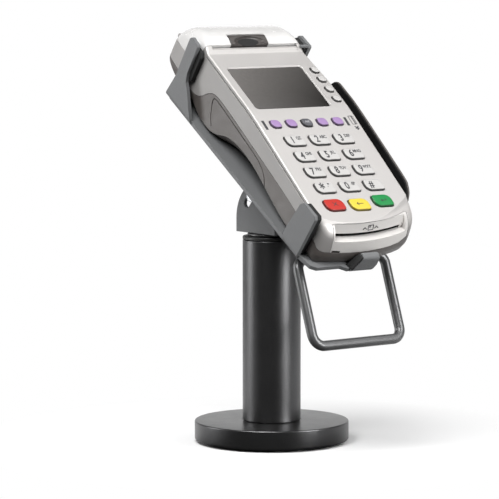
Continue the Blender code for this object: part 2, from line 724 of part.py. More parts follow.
paper_cover = solid("paper_cover", case_body(), terminal_frame, (0, *HINGE), CLEAR)
keep(paper_cover, box((-60, 60), (COVER_FRONT, 90), (COVER_FLOOR, 80)))
cut(paper_cover, case_cavity())
cut(paper_cover, box((LATCH_LEFT, LATCH_RIGHT), (30, 42.4), (40, 60)))
for low, high in ((-35.9, -29.9), (27.9, 33.9)):
    cut(paper_cover, cylinder(HINGE_RADIUS + 0.4, low, high, "x", HINGE, 20))
join(paper_cover, cylinder(HINGE_RADIUS, -29.9, 27.9, "x", HINGE, 20))
join(paper_cover, cylinder(1.0, -34.2, 32.2, "x", HINGE, 16))
for low, high in ((-34.6, -32.4), (31.2, 33.4)):
    join(paper_cover, box((low, high), (34.2, 40.2), (35.6, 45.8)))
cut(paper_cover, cylinder(AXLE_RADIUS + GAP, -36.0, 33.6, "x", PLATEN, 16))

latch_side = [(33.9, 43.0), (42.1, 43.6), (42.0, 45.6), (41.3, 47.9), (40.0, 48.1), (33.9, 46.6)]
cover_latch = solid("cover_latch", prism(latch_side, LATCH_LEFT + GAP, LATCH_RIGHT - GAP, "x"),
                    terminal_frame, (0, LATCH_Y, LATCH_Z), BLACK_PLASTIC)

# Front bezel with the chip-card slot
card_bezel = solid("card_bezel", case_body(), terminal_frame, material=SILVER_PLASTIC)
keep(card_bezel, prism(above, -60, 60, "x"))
keep(card_bezel, box((BEZEL_LEFT, BEZEL_RIGHT), (-140, BEZEL_REAR), (0, BEZEL_TOP)))
cut(card_bezel, box((-SLOT_HALF, SLOT_HALF), (-150, -120), (SLOT_Z - 0.8, SLOT_Z + 0.9)))

chip_reader = solid("chip_reader", box((-29.5, 29.5), (BEZEL_REAR + 0.4, -78), (12.5, 19.6)), terminal_frame,
                    material=BLACK_PLASTIC)
cut(chip_reader, box((-27.6, 27.6), (-140, -83), (SLOT_Z - 0.6, SLOT_Z + 0.6)))

# Swipe rail: a floor against the case and an outer wall, with the card slot between
rail_top = [(0, 36.0), (-1.4, 39.2), (-4.6, 41.2), (-8.6, 41.7), (-29.4, 40.6), (-66.2, 35.9), (-94, 32.0),
            (-99.5, 30.0), (-103.5, 26.5), (-105.5, 21.5)]
rail_low = [(-105.5, 17.8), (-88, 19.6), (-66.2, 22.2), (-29.4, 27.0), (0, 29.7)]
swipe_rail = solid("swipe_rail", prism(rail_top + rail_low, RAIL_INSIDE, RAIL_OUTSIDE, "x"), terminal_frame,
                   material=DARK_PLASTIC)
floor_line = [(0, 30.8), (-29.4, 28.8), (-66.2, 24.0), (-88, 21.3), (-105.5, 19.0)]
join(swipe_rail, prism(floor_line + rail_low, 41.7, RAIL_INSIDE + 0.6, "x"))

head = [(-65.8, 28.0), (-65.8, 32.0), (-54.2, 32.0), (-54.2, 28.0)]
magnetic_head = solid("magnetic_head", prism(head, 36.4, 43.0, "x"), terminal_frame, material=STEEL)

# Display, boards and key sheet
lens = prism(rounded_rectangle(-3.65, 23.05, 60.6, 39.6, 1.4), -1.7, -0.5, "z")
display_window = solid("display_window", lens, display_frame, material=WINDOW)
display_module = solid("display_module", box((-36, 36.6), (1.2, 46), (-8.2, -6.7)), display_frame,
                       material=GLASS)
join(display_module, box((-33.4, 26.2), (3.8, 42.4), (-7.2, -2.0)))
key_membrane = solid("key_membrane", box((-34, 31), (-52.5, 30.5), (-6.0, -4.9)), keypad_frame,
                     material=MEMBRANE)
main_board = solid("main_board", box((-36, 35), (-46, 33), (-8.2, -6.6)), keypad_frame, material=BOARD)

# ---------------------------------------------------------------- receipt printer

IDLER = (IDLER_Y, IDLER_Z)
roll = turned(((6.2, -28.5), (ROLL_RADIUS, -28.5), (ROLL_RADIUS, 28.5), (6.2, 28.5)), 40, True)
for vert in roll.verts:
    vert.co = Vector((vert.co.z - 1.5, vert.co.x + ROLL_Y, vert.co.y + ROLL_Z))
paper_roll = solid("paper_roll", roll, terminal_frame, (0, ROLL_Y, ROLL_Z), PAPER)

side_plate = [(20.5, 8.0), (32.6, 8.0), (32.6, 37.0), (20.5, 32.0)]
printer_frame = solid("printer_frame", prism(side_plate, -35.0, 33.0, "x"), terminal_frame,
                      material=BLACK_PLASTIC)
cut(printer_frame, box((-33, 31), (22.5, 40), (0, 50)))
cut(printer_frame, cylinder(1.6, 20, 40, "x", IDLER, 16))

edge = [(30.2, 33.0), (33.0, 33.0), (33.0, 41.6), (31.6, 43.9), (30.2, 43.9)]
thermal_head = solid("thermal_head", prism(edge, -30.5, 28.0, "x"), terminal_frame, material=STEEL)

feed_motor = solid("feed_motor", cylinder(4.2, 4, 30.6, "x", (26.9, 18), 24), terminal_frame, material=STEEL)

gear = [(y + IDLER_Y, z + IDLER_Z) for y, z in gear_outline(IDLER_TEETH, GEAR_MODULE)]
drive_gear = solid("drive_gear", prism(gear, 33.6, 35.3, "x"), terminal_frame, (0, IDLER_Y, IDLER_Z), NYLON)
join(drive_gear, cylinder(1.3, 28.5, 34.5, "x", IDLER, 16))

platen_roller = solid("platen_roller", cylinder(3.1, -31.5, 28.5, "x", PLATEN, 24),
                      terminal_frame, (0, PLATEN_Y, PLATEN_Z), RUBBER)
join(platen_roller, cylinder(AXLE_RADIUS, -34.3, 34.5, "x", PLATEN, 16))
gear = [(y + PLATEN_Y, z + PLATEN_Z) for y, z in gear_outline(PLATEN_TEETH, GEAR_MODULE)]
join(platen_roller, prism(gear, 33.8, 35.3, "x"))

for item in (base_disc, base_pad, base_bolt, pole_tube, pole_cap, swivel_disc, tilt_yoke, tilt_pin, lock_bolt,
             plate_bracket, back_plate, handle, bottom_case, top_case, card_bezel, paper_cover, paper_roll,
             feed_motor, platen_roller):
    smooth(item)
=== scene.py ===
"""Looks of a card payment terminal on its pole stand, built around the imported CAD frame.

Shapes are drawn in millimetres in the terminal's own frames and placed by the frame's joints and nodes.
Terminal frame: x across, y up the slope of the grip plate, z square to the plate, zero on its upper face.
"""

import json
import math

import bmesh
import bpy
from mathutils import Matrix, Vector


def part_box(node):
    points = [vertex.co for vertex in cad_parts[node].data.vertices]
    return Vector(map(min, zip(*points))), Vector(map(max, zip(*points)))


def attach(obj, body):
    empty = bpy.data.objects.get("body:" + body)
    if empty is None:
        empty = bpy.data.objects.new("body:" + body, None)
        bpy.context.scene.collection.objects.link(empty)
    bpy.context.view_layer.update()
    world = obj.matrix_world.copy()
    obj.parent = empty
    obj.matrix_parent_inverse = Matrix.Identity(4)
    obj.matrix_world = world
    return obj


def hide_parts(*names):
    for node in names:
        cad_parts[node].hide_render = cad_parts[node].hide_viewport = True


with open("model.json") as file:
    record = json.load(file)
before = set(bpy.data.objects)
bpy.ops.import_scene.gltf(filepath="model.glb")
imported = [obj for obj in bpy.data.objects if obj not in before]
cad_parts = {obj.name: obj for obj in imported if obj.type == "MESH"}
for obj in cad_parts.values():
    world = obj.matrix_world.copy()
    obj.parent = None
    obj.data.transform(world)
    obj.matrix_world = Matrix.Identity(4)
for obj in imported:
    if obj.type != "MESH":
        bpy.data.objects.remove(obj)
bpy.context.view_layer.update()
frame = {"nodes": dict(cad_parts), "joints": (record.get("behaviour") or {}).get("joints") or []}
nodes = frame["nodes"]
joints = {joint["name"]: joint for joint in frame["joints"]}
scene = bpy.context.scene

MM = 0.001
METRE = 1000.0
MICRON = 0.000001

# ---------- frames

# Slope of the grip plate, and the paper cover's hinge in the terminal frame
SLOPE = 35.0
HINGE = (66.2, 28.9)
# A point on the keypad and on the display's plane, and the slope of each against the plate
KEYPAD_AT, KEYPAD_SLOPE = (0, -66.2, 34.7), 7.78
DISPLAY_AT, DISPLAY_SLOPE = (0, -29.4, 39.7), 2.9


def placed(at, slope=0.0):
    return Matrix.Translation(at) @ Matrix.Rotation(math.radians(slope), 4, "X")


WORLD = Matrix.Identity(4)
turn = Matrix.Rotation(math.radians(SLOPE), 4, "X")
hinge_at = Vector(joints["cover_hinge"]["pos_m"]) * METRE
TERMINAL = Matrix.Translation(hinge_at - turn @ Vector((0, *HINGE))) @ turn
KEYPAD = TERMINAL @ placed(KEYPAD_AT, KEYPAD_SLOPE)
DISPLAY = TERMINAL @ placed(DISPLAY_AT, DISPLAY_SLOPE)


def centre_of(node, place):
    """Middle of a CAD node, in millimetres in one of the frames."""
    low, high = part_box(node)
    return place.inverted() @ ((low + high) / 2 * METRE)


# ---------- outlines


def arc(centre, radius, start, end, steps):
    angles = (math.radians(start + (end - start) * i / steps) for i in range(steps + 1))
    return [(centre[0] + radius * math.cos(a), centre[1] + radius * math.sin(a)) for a in angles]


def circle(centre, radius, segments):
    return arc(centre, radius, 0, 360, segments)[:-1]


def rounded(x, y, width, depth, radii, grow=0.0, steps=6):
    """Rounded rectangle. The radii are rear right, rear left, front left and front right."""
    half_x, half_y = width / 2 + grow, depth / 2 + grow
    smallest, flat = 0.12, 0.05
    points = []
    for k, (sx, sy) in enumerate(((1, 1), (-1, 1), (-1, -1), (1, -1))):
        r = max(smallest, min(radii[k] + grow, half_x - flat, half_y - flat))
        points += arc((x + sx * (half_x - r), y + sy * (half_y - r)), r, 90 * k, 90 * k + 90, steps)
    return points


def fillet(points, radii, steps, closed=False):
    """Rounds the corners of a path. A corner with radius zero stays sharp."""
    path = [Vector(p) for p in points]
    out = []
    count = len(path)
    for i, here in enumerate(path):
        radius = radii[i]
        if radius == 0 or (not closed and i in (0, count - 1)):
            out.append(here)
            continue
        back = (path[i - 1] - here).normalized()
        ahead = (path[(i + 1) % count] - here).normalized()
        half = back.angle(ahead) / 2
        centre = here + (back + ahead).normalized() * (radius / math.sin(half))
        start = here + back * (radius / math.tan(half)) - centre
        end = here + ahead * (radius / math.tan(half)) - centre
        sweep = start.angle(end)
        for k in range(steps + 1):
            share = k / steps
            mixed = math.sin((1 - share) * sweep) * start + math.sin(share * sweep) * end
            out.append(centre + mixed / math.sin(sweep))
    return out


def strip(points, thickness, radii=None, steps=10):
    """Outline of a bent sheet: a flat path thickened by half its gauge on each side."""
    path = fillet(points, radii or [0] * len(points), steps)
    sides = ([], [])
    for i, here in enumerate(path):
        before = (here - path[i - 1]).normalized() if i else None
        after = (path[i + 1] - here).normalized() if i < len(path) - 1 else None
        way = ((before or after) + (after or before)).normalized()
        normal = Vector((-way.y, way.x))
        stretch = 1 / max(0.2, normal.dot(Vector((-(after or before).y, (after or before).x))))
        for side, sign in zip(sides, (1, -1)):
            side.append(here + normal * (sign * stretch * thickness / 2))
    return [tuple(p) for p in sides[0]] + [tuple(p) for p in reversed(sides[1])]


def smooth_line(points, per_step=6):
    """Catmull-Rom curve through points of any dimension."""
    out = []
    for i in range(len(points) - 1):
        p0 = Vector(points[max(i - 1, 0)])
        p1, p2 = Vector(points[i]), Vector(points[i + 1])
        p3 = Vector(points[min(i + 2, len(points) - 1)])
        for k in range(per_step):
            t = k / per_step
            out.append(0.5 * ((2 * p1) + (p2 - p0) * t + (2 * p0 - 5 * p1 + 4 * p2 - p3) * t * t
                              + (3 * p1 - 3 * p2 + p3 - p0) * t * t * t))
    out.append(Vector(points[-1]))
    return [tuple(p) for p in out]


# ---------- meshes

AXES = {"x": lambda a, b, c: (c, a, b), "y": lambda a, b, c: (a, c, b), "z": lambda a, b, c: (a, b, c)}


def loft(rings, shape=None, endless=False):
    """A closed body through rings of equally many points, capped at both ends or joined end to end."""
    shape = shape or bmesh.new()
    made = [[shape.verts.new(p) for p in ring] for ring in rings]
    for low, high in zip(made, made[1:] + made[:1] if endless else made[1:]):
        for i in range(len(low)):
            j = (i + 1) % len(low)
            shape.faces.new((low[i], low[j], high[j], high[i]))
    if not endless:
        shape.faces.new(made[0])
        shape.faces.new(made[-1])
    return shape


def prism(outline, low, high, axis, shape=None):
    place = AXES[axis]
    return loft([[place(p[0], p[1], c) for p in outline] for c in (low, high)], shape)


def box(x, y, z, shape=None):
    return prism([(x[0], y[0]), (x[1], y[0]), (x[1], y[1]), (x[0], y[1])], z[0], z[1], "z", shape)


def cylinder(radius, low, high, axis, centre=(0, 0), segments=48):
    return prism(circle(centre, radius, segments), low, high, axis)


def soft_bar(radius, low, high, axis, centre=(0, 0), edge=0.3, segments=64):
    """A round bar with rounded ends."""
    place = AXES[axis]
    curve = ((edge, 0), (edge * 0.4, edge * 0.12), (edge * 0.1, edge * 0.45), (0, edge))
    rings = [(radius - inset, low + along) for inset, along in curve]
    rings += [(radius - inset, high - along) for inset, along in reversed(curve)]
    return loft([[place(a, b, c) for a, b in circle(centre, r, segments)] for r, c in rings])


def turned(profile, segments, ring=False):
    """A turned body from radii and heights. A ring's profile closes on itself, off the axis."""
    shape = bmesh.new()
    rows = []
    for radius, z in profile:
        if radius == 0:
            rows.append([shape.verts.new((0, 0, z))] * segments)
            continue
        angles = (2 * math.pi * i / segments for i in range(segments))
        rows.append([shape.verts.new((radius * math.cos(a), radius * math.sin(a), z)) for a in angles])
    pairs = list(zip(rows, rows[1:]))
    if ring:
        pairs.append((rows[-1], rows[0]))
    for low, high in pairs:
        for i in range(segments):
            j = (i + 1) % segments
            corners = []
            for vert in (low[i], low[j], high[j], high[i]):
                if vert not in corners:
                    corners.append(vert)
            shape.faces.new(corners)
    return shape


def lay_along_x(shape, at):
    """Turns a body that stands on z so that it lies along x, and moves it to a place."""
    for vert in shape.verts:
        vert.co = Vector((vert.co.z + at[0], vert.co.x + at[1], vert.co.y + at[2]))
    return shape


def ring_bar(path, radius, segments):
    """A round bar swept along a flat closed path."""
    count = len(path)
    flat = (path[1] - path[0]).cross(path[count // 2] - path[0]).normalized()
    rings = []
    for i, here in enumerate(path):
        ahead = (path[(i + 1) % count] - path[i - 1]).normalized()
        out = ahead.cross(flat)
        angles = (2 * math.pi * k / segments for k in range(segments))
        rings.append([here + radius * (math.cos(a) * out + math.sin(a) * flat) for a in angles])
    return loft(rings, endless=True)


def ellipsoid(half_axes, at, rings, tilt=0.0):
    shape = bmesh.new()
    bmesh.ops.create_uvsphere(shape, u_segments=64, v_segments=rings, radius=1.0)
    bmesh.ops.scale(shape, verts=shape.verts, vec=half_axes)
    bmesh.ops.rotate(shape, verts=shape.verts, matrix=Matrix.Rotation(math.radians(tilt), 3, "X"))
    bmesh.ops.translate(shape, verts=shape.verts, vec=at)
    return shape


# ---------- objects


def raw(name, shape, place=TERMINAL):
    """A mesh object with its points in the row frame, in metres."""
    bmesh.ops.transform(shape, matrix=place, verts=shape.verts)
    bmesh.ops.scale(shape, verts=shape.verts, vec=(MM, MM, MM))
    bmesh.ops.recalc_face_normals(shape, faces=shape.faces)
    mesh = bpy.data.meshes.new(name)
    shape.to_mesh(mesh)
    shape.free()
    made = bpy.data.objects.new(name, mesh)
    scene.collection.objects.link(made)
    return made


def combine(target, tool, operation):
    modifier = target.modifiers.new(operation.lower(), "BOOLEAN")
    modifier.operation = operation
    modifier.solver = "EXACT"
    modifier.object = tool
    bpy.context.view_layer.update()
    graph = bpy.context.evaluated_depsgraph_get()
    result = bpy.data.meshes.new_from_object(target.evaluated_get(graph))
    target.modifiers.clear()
    target.data = result
    bpy.data.objects.remove(tool)


def cut(target, shape, place=TERMINAL):
    combine(target, raw("tool", shape, place), "DIFFERENCE")


def join(target, shape, place=TERMINAL):
    combine(target, raw("tool", shape, place), "UNION")


def keep(target, shape, place=TERMINAL):
    combine(target, raw("tool", shape, place), "INTERSECT")


def finish(made, coating, node=None, body="holder", crease=30, bevel=0.0, steps=2, limit=35, even=False):
    """Shades a piece, coats it and fixes it to its body, in the place of a CAD node if it has one.

    Edges sharper than the crease angle stay sharp, or with a bevel those over the limit are rounded.
    Even keeps large faces flat in the shading.
    """
    made.data.materials.clear()
    made.data.materials.append(coating.material)
    for face in made.data.polygons:
        face.use_smooth = True
        face.material_index = 0
    if bevel:
        modifier = made.modifiers.new("edges", "BEVEL")
        modifier.width = bevel * MM
        modifier.segments = steps
        modifier.limit_method = "ANGLE"
        modifier.angle_limit = math.radians(limit)
        modifier.use_clamp_overlap = False
        modifier.harden_normals = True
        modifier.miter_outer = "MITER_ARC"
    else:
        made.data.set_sharp_from_angle(angle=math.radians(crease))
    if even:
        modifier = made.modifiers.new("even", "WEIGHTED_NORMAL")
        modifier.mode = "FACE_AREA"
        modifier.weight = 100
        modifier.keep_sharp = True
    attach(made, body)
    if node:
        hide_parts(node)


def piece(name, shape, coating, node=None, body="holder", place=TERMINAL, **rest):
    finish(raw(name, shape, place), coating, node, body, **rest)


# ---------- materials

KEY_NORMAL = (KEYPAD.to_3x3() @ Vector((0, 0, 1)))[:]


class Graph:
    """Adds nodes to a node tree. A value that is a node's output is linked, and any other is set."""

    def __init__(self, tree):
        self.nodes = tree.nodes
        self.links = tree.links

    def feed(self, socket, value):
        if isinstance(value, bpy.types.NodeSocket):
            self.links.new(value, socket)
        else:
            socket.default_value = value

    def add(self, kind, inputs=None, **settings):
        node = self.nodes.new(kind)
        for key, value in settings.items():
            setattr(node, key, value)
        for key, value in (inputs or {}).items():
            self.feed(node.inputs[key], value)
        return node

    def fit(self, value, low, high, to_low, to_high):
        values = {"Value": value, "From Min": low, "From Max": high, "To Min": to_low, "To Max": to_high}
        return self.add("ShaderNodeMapRange", values, clamp=True).outputs["Result"]

    def math(self, operation, a, b):
        return self.add("ShaderNodeMath", {0: a, 1: b}, operation=operation).outputs[0]

    def dot(self, a, b):
        return self.add("ShaderNodeVectorMath", {0: a, 1: b}, operation="DOT_PRODUCT").outputs["Value"]

    def grey(self, tone):
        return self.add("ShaderNodeCombineColor", {0: tone, 1: tone, 2: tone}).outputs[0]

    def mix(self, share, a, b, mode="MIX"):
        values = {0: share}
        for index, colour in ((6, a), (7, b)):
            values[index] = (*colour, 1) if isinstance(colour, tuple) else colour
        return self.add("ShaderNodeMix", values, data_type="RGBA", blend_type=mode).outputs[2]


class Finish(Graph):
    """A material and the record's material slot that it stands for."""

    def __init__(self, name, slot=None):
        self.material = bpy.data.materials.new(name)
        self.material.use_nodes = True
        self.slot = slot or name
        super().__init__(self.material.node_tree)
        self.shader = self.nodes["Principled BSDF"]
        self.position = self.add("ShaderNodeTexCoord").outputs["Object"]

    def put(self, name, value):
        self.feed(self.shader.inputs[name], value)

    def noise(self, scale, detail=2.0, roughness=0.5, stretch=None):
        where = self.position
        if stretch:
            where = self.add("ShaderNodeMapping", {"Vector": where, "Scale": stretch}).outputs["Vector"]
        values = {"Vector": where, "Scale": scale, "Detail": detail, "Roughness": roughness}
        return self.add("ShaderNodeTexNoise", values).outputs["Fac"]

    def facing(self):
        """How far a surface faces the same way as the keypad."""
        return self.dot(self.add("ShaderNodeTexCoord").outputs["Normal"], KEY_NORMAL)


def scaled(colour, factor):
    return tuple(min(1.0, c * factor) for c in colour)


def finish_of(name, colour, roughness, slot=None, metallic=0.0, grain=(9000, 20), broad=0.06, sheen=0.08,
              edge=0.25, edge_wear_and_shade_tone=0.75, round_edge=0.25, specular=0.5, stretch=None, painted_side_shade=None):
    """A surface with fine grain, slow colour and gloss variation, and edges that move toward a tone: a light
    tone as wear, a near-black one as painted shade.

    Grain is its frequency and its height in microns, stretched if asked. Broad and sheen are the spread of
    colour and of roughness. Edges look rounded by round_edge and move toward the edge tone by the share edge;
    a light tone is wear, and a near-black tone is painted shade on the edges.
    The side shade factor is how bright the sides are painted against a top that faces as the keypad does:
    painted shade on the sides.
    """
    made = Finish(name, slot)
    slow = made.noise(38.0, 4.0, 0.6)
    patch = made.noise(170.0, 3.0, 0.55)
    fine = made.noise(grain[0], 2.0, 0.6, stretch)
    tone = made.fit(slow, 0.3, 0.7, 1 - broad, 1 + broad)
    base = made.mix(1.0, colour, made.grey(tone), "MULTIPLY")
    base = made.mix(made.fit(fine, 0.35, 0.65, 0.0, 1.0), base, scaled(colour, 1.0 + broad * 1.5))
    plain = made.add("ShaderNodeNewGeometry").outputs["Normal"]
    normal = plain
    if round_edge:
        normal = made.add("ShaderNodeBevel", {"Radius": round_edge * MM}, samples=4).outputs["Normal"]
    # Edges move toward their tone: a light tone is wear, and a near-black tone is painted shade on the edges
    if edge:
        bend = made.fit(made.dot(normal, plain), 0.985, 0.88, 0.0, 1.0)
        edge_wear_and_shade = made.math("MULTIPLY", bend, made.fit(patch, 0.42, 0.62, 0.1, 1.0))
        base = made.mix(edge_wear_and_shade, base, tuple(c + (edge_wear_and_shade_tone - c) * edge for c in colour))
    # Painted shade: sides turned away from the keypad's facing are darkened
    if painted_side_shade:
        base = made.mix(made.fit(made.facing(), 0.5, 0.82, 1.0, 0.0), base, scaled(colour, painted_side_shade))
    made.put("Base Color", base)
    made.put("Roughness", made.math("ADD", made.fit(slow, 0.3, 0.7, roughness - sheen, roughness + sheen),
                                    made.fit(patch, 0.4, 0.6, -sheen * 0.4, sheen * 0.4)))
    made.put("Metallic", metallic)
    made.put("Specular IOR Level", specular)
    bump = made.add("ShaderNodeBump", {"Strength": 1.0, "Distance": grain[1] * MICRON, "Height": fine,
                                       "Normal": normal})
    made.put("Normal", bump.outputs["Normal"])
    return made


COATED_BLACK = (0.11, 0.11, 0.112)
black_coat = finish_of("black_powder_coat", COATED_BLACK, 0.34, metallic=1.0, grain=(1700, 70), edge=0.12,
                       sheen=0.015, round_edge=0.3)
foot_coat = finish_of("foot_powder_coat", COATED_BLACK, 0.31, "black_powder_coat", metallic=1.0,
                      grain=(1700, 50), edge=0.1, sheen=0.02)
handle_coat = finish_of("handle_powder_coat", (0.15, 0.151, 0.153), 0.36, "black_powder_coat", metallic=0.7,
                        grain=(1300, 8), edge=0.0, sheen=0.02, round_edge=0.0)
# Grey powder coat; its edges are painted almost black as painted shade on the sheet's edges
grey_coat = finish_of("grey_powder_coat", (0.15, 0.153, 0.156), 0.5, grain=(2400, 40), broad=0.08, sheen=0.04,
                      edge=0.7, edge_wear_and_shade_tone=0.03, round_edge=0.4, specular=0.25)
zinc = finish_of("zinc_plated_steel", (0.62, 0.63, 0.65), 0.3, metallic=1.0, grain=(1800, 10),
                 stretch=(1, 9, 9), edge=0.1)
rubber = finish_of("black_rubber", (0.014,) * 3, 0.72, grain=(5200, 40), edge=0.05, broad=0.2, specular=0.35)
# Silver plastic whose sides are painted darker than its top: painted shade
silver = finish_of("silver_plastic", (0.58, 0.56, 0.545), 0.42, grain=(5200, 10), edge=0.12, broad=0.02,
                   sheen=0.03, round_edge=0.3, painted_side_shade=0.47)
# The sides, turned away from the keypad's facing, are also made less metallic, so that they look darker:
# painted shade.
silver.put("Metallic", silver.fit(silver.facing(), 0.5, 0.9, 0.0, 0.5))
bezel_plastic = finish_of("bezel_plastic", (0.68, 0.66, 0.64), 0.42, "silver_plastic", metallic=0.2,
                          grain=(5200, 10), edge=0.1, broad=0.02, sheen=0.03)
dark_plastic = finish_of("dark_grey_plastic", (0.08, 0.071, 0.066), 0.38, grain=(3200, 25), edge=0.15,
                         broad=0.07, sheen=0.06)
black_plastic = finish_of("black_plastic", (0.018,) * 3, 0.4, grain=(3600, 30), edge=0.08, broad=0.15)
# Near-black plastic that paints shade into the swipe rail and the card slot
painted_shade_black = finish_of("painted_shade_black_plastic", (0.006,) * 3, 0.55, "black_plastic", grain=(3600, 20), edge=0.0,
                       broad=0.15, specular=0.2)
tab_plastic = finish_of("tab_plastic", (0.06, 0.053, 0.05), 0.36, "black_plastic", grain=(3600, 20), edge=0.1)
ink = finish_of("printed_ink", (0.035, 0.035, 0.038), 0.5, "dark_key", edge=0.0, broad=0.2)
pale_ink = finish_of("pale_ink", (0.5, 0.5, 0.52), 0.5, "dark_key", edge=0.0, broad=0.1)
nylon = finish_of("white_nylon", (0.7, 0.69, 0.65), 0.45, grain=(4200, 20), edge=0.1)
silicone = finish_of("silicone_sheet", (0.3, 0.3, 0.3), 0.65, grain=(4200, 20), edge=0.0)
glass_back = finish_of("display_back", (0.12, 0.13, 0.11), 0.35, edge=0.0)


# Key finishes; the factor after the roughness is how bright each key's sides are painted against its top:
# painted shade round the keys
def key_finish(name, colour, roughness, painted_side_shade, edge=0.1, broad=0.06):
    return finish_of(name, colour, roughness, grain=(4200, 12), edge=edge, broad=broad, painted_side_shade=painted_side_shade)


key_light = key_finish("light_key", (0.46, 0.45, 0.44), 0.42, 0.12, edge=0.0, broad=0.02)
key_purple = key_finish("purple_key", (0.29, 0.185, 0.37), 0.42, 0.25, broad=0.04)
key_dark = key_finish("dark_key", (0.075, 0.075, 0.085), 0.42, 0.4, edge=0.15)
key_red = key_finish("red_key", (0.4, 0.016, 0.008), 0.36, 0.3)
key_yellow = key_finish("yellow_key", (0.62, 0.48, 0.04), 0.36, 0.3)
key_green = key_finish("green_key", (0.0, 0.2, 0.042), 0.36, 0.3)


def window_finish():
    """Tinted window: a dark panel with a painted reflection that pales it toward its upper left, with fine
    wiping marks and a gloss coat.
    """
    made = finish_of("display_window", (0.03, 0.028, 0.027), 0.2, grain=(2600, 2), edge=0.1, broad=0.05,
                     sheen=0.04, specular=0.2)
    low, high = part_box("display_window")
    place = made.add("ShaderNodeSeparateXYZ", {0: made.position})
    # Painted reflection: the panel pales toward its upper left
    across = made.fit(place.outputs[0], low.x, high.x, 0.0, 0.6)
    down = made.fit(place.outputs[1], low.y, high.y, 0.4, 0.0)
    painted_reflection = made.mix(made.math("ADD", across, down), (0.145, 0.137, 0.131), (0.012, 0.011, 0.01))
    smear = made.fit(made.noise(420, 3.0), 0.3, 0.7, 0.0, 0.12)
    made.put("Base Color", made.mix(smear, painted_reflection, (0.03, 0.03, 0.03)))
    made.put("Coat Weight", 0.1)
    made.put("Coat Roughness", made.fit(made.noise(900, 3.0, 0.6, (1, 0.15, 0.15)), 0.4, 0.7, 0.06, 0.16))
    return made


def cover_finish():
    """Frosted cover: pale plastic that lets some light through."""
    made = finish_of("frosted_cover", (0.72, 0.71, 0.7), 0.24, grain=(5200, 8), broad=0.01, sheen=0.04,
                     edge=0.0)
    made.put("Transmission Weight", made.fit(made.noise(60, 2.0), 0.3, 0.7, 0.12, 0.2))
    made.put("IOR", 1.42)
    made.put("Coat Weight", 0.4)
    return made


def board_finish():
    """Circuit board: copper tracks under green lacquer."""
    made = finish_of("green_board", (0.02, 0.13, 0.05), 0.35, edge=0.0, grain=(1200, 20))
    tracks = {"Vector": made.position, "Scale": 260.0, "Mortar Size": 0.06, "Color1": (0.02, 0.13, 0.05, 1),
              "Color2": (0.03, 0.17, 0.07, 1), "Mortar": (0.05, 0.24, 0.1, 1)}
    made.put("Base Color", made.add("ShaderNodeTexBrick", tracks).outputs["Color"])
    return made


window = window_finish()
frosted = cover_finish()
board = board_finish()
# Paper: fibres that run across the roll
paper = finish_of("thermal_paper", (0.88, 0.87, 0.84), 0.75, grain=(2100, 20), edge=0.0, stretch=(0.3, 1, 1),
                  broad=0.02)

# ---------- stand

STAND = {"body": "stand", "place": WORLD}
FOOT, FOOT_LOW, FOOT_TOP = 51.0, 1.3, 14.0
POLE, BORE, POLE_TOP = 19.2, 16.7, 134.2
BUSH_TOP = 136.6
DISC_LOW, DISC_HIGH = 136.9, 138.4
YOKE_LOW, YOKE_HALF, YOKE_SHEET = 138.7, 14.0, 2.5

# Foot: a turned disc with softened edges, a shallow step round the pole and a well for the bolt underneath
foot = [(8.9, FOOT_LOW), (FOOT - 1.4, FOOT_LOW), (FOOT - 0.5, FOOT_LOW + 0.25), (FOOT - 0.1, FOOT_LOW + 0.9),
        (FOOT, FOOT_LOW + 1.6), (FOOT, FOOT_TOP - 1.1)]
foot += arc((FOOT - 0.8, FOOT_TOP - 0.8), 0.8, 10, 90, 6)
foot += [(POLE + 0.9, FOOT_TOP), (POLE + 0.75, FOOT_TOP - 0.25), (POLE + 0.2, FOOT_TOP - 0.3),
         (POLE - 0.2, FOOT_TOP), (4.4, FOOT_TOP), (4.4, 7.5), (8.9, 2.7)]
piece("foot_disc", turned(foot, 160, True), foot_coat, "base_disc", **STAND)

foot_pad = raw("foot_pad", soft_bar(46.5, 0.0, 1.0, "z", edge=0.3, segments=120), WORLD)
for groove in (14.0, 26.0, 38.0):
    edges = [(groove, -0.5), (groove + 1.2, -0.5), (groove + 1.2, 0.35), (groove, 0.35)]
    cut(foot_pad, turned(edges, 96, True), WORLD)
finish(foot_pad, rubber, "base_pad", "stand")

bolt = [(0, 4.4), (2.2, 4.4), (2.3, 1.7), (8.0, 1.6), (8.4, 2.0), (8.5, 2.3), (4.0, 7.0), (4.0, 28.0),
        (3.2, 29.0), (0, 29.0)]
piece("foot_bolt", turned(bolt, 48), zinc, "base_bolt", crease=35, **STAND)

tube = [(4.5, FOOT_TOP + 0.3), (POLE - 0.35, FOOT_TOP + 0.3), (POLE, FOOT_TOP + 0.75), (POLE, POLE_TOP - 0.6)]
tube += arc((POLE - 0.6, POLE_TOP - 0.6), 0.6, 10, 90, 5) + [(BORE, POLE_TOP), (BORE, 22.0), (4.5, 22.0)]
piece("pole", turned(tube, 160, True), black_coat, "pole_tube", **STAND)

bush = [(5.3, 124.0), (BORE - 0.3, 124.0), (BORE - 0.3, POLE_TOP + 0.3), (POLE - 0.2, POLE_TOP + 0.3),
        (POLE, POLE_TOP + 0.55), (POLE, BUSH_TOP - 0.7)]
bush += arc((POLE - 0.7, BUSH_TOP - 0.7), 0.7, 10, 90, 5) + [(5.3, BUSH_TOP)]
piece("pole_bush", turned(bush, 128, True), black_plastic, "pole_cap", **STAND)

hub = [(0, 120.0), (7.1, 120.0), (7.5, 120.4), (7.5, 123.7), (5.0, 123.7), (5.0, DISC_LOW), (15.7, DISC_LOW),
       (16.0, DISC_LOW + 0.3), (16.0, DISC_HIGH - 0.3), (15.7, DISC_HIGH), (0, DISC_HIGH)]
piece("turning_disc", turned(hub, 96), black_coat, "swivel_disc", "turntable", place=WORLD, crease=35)

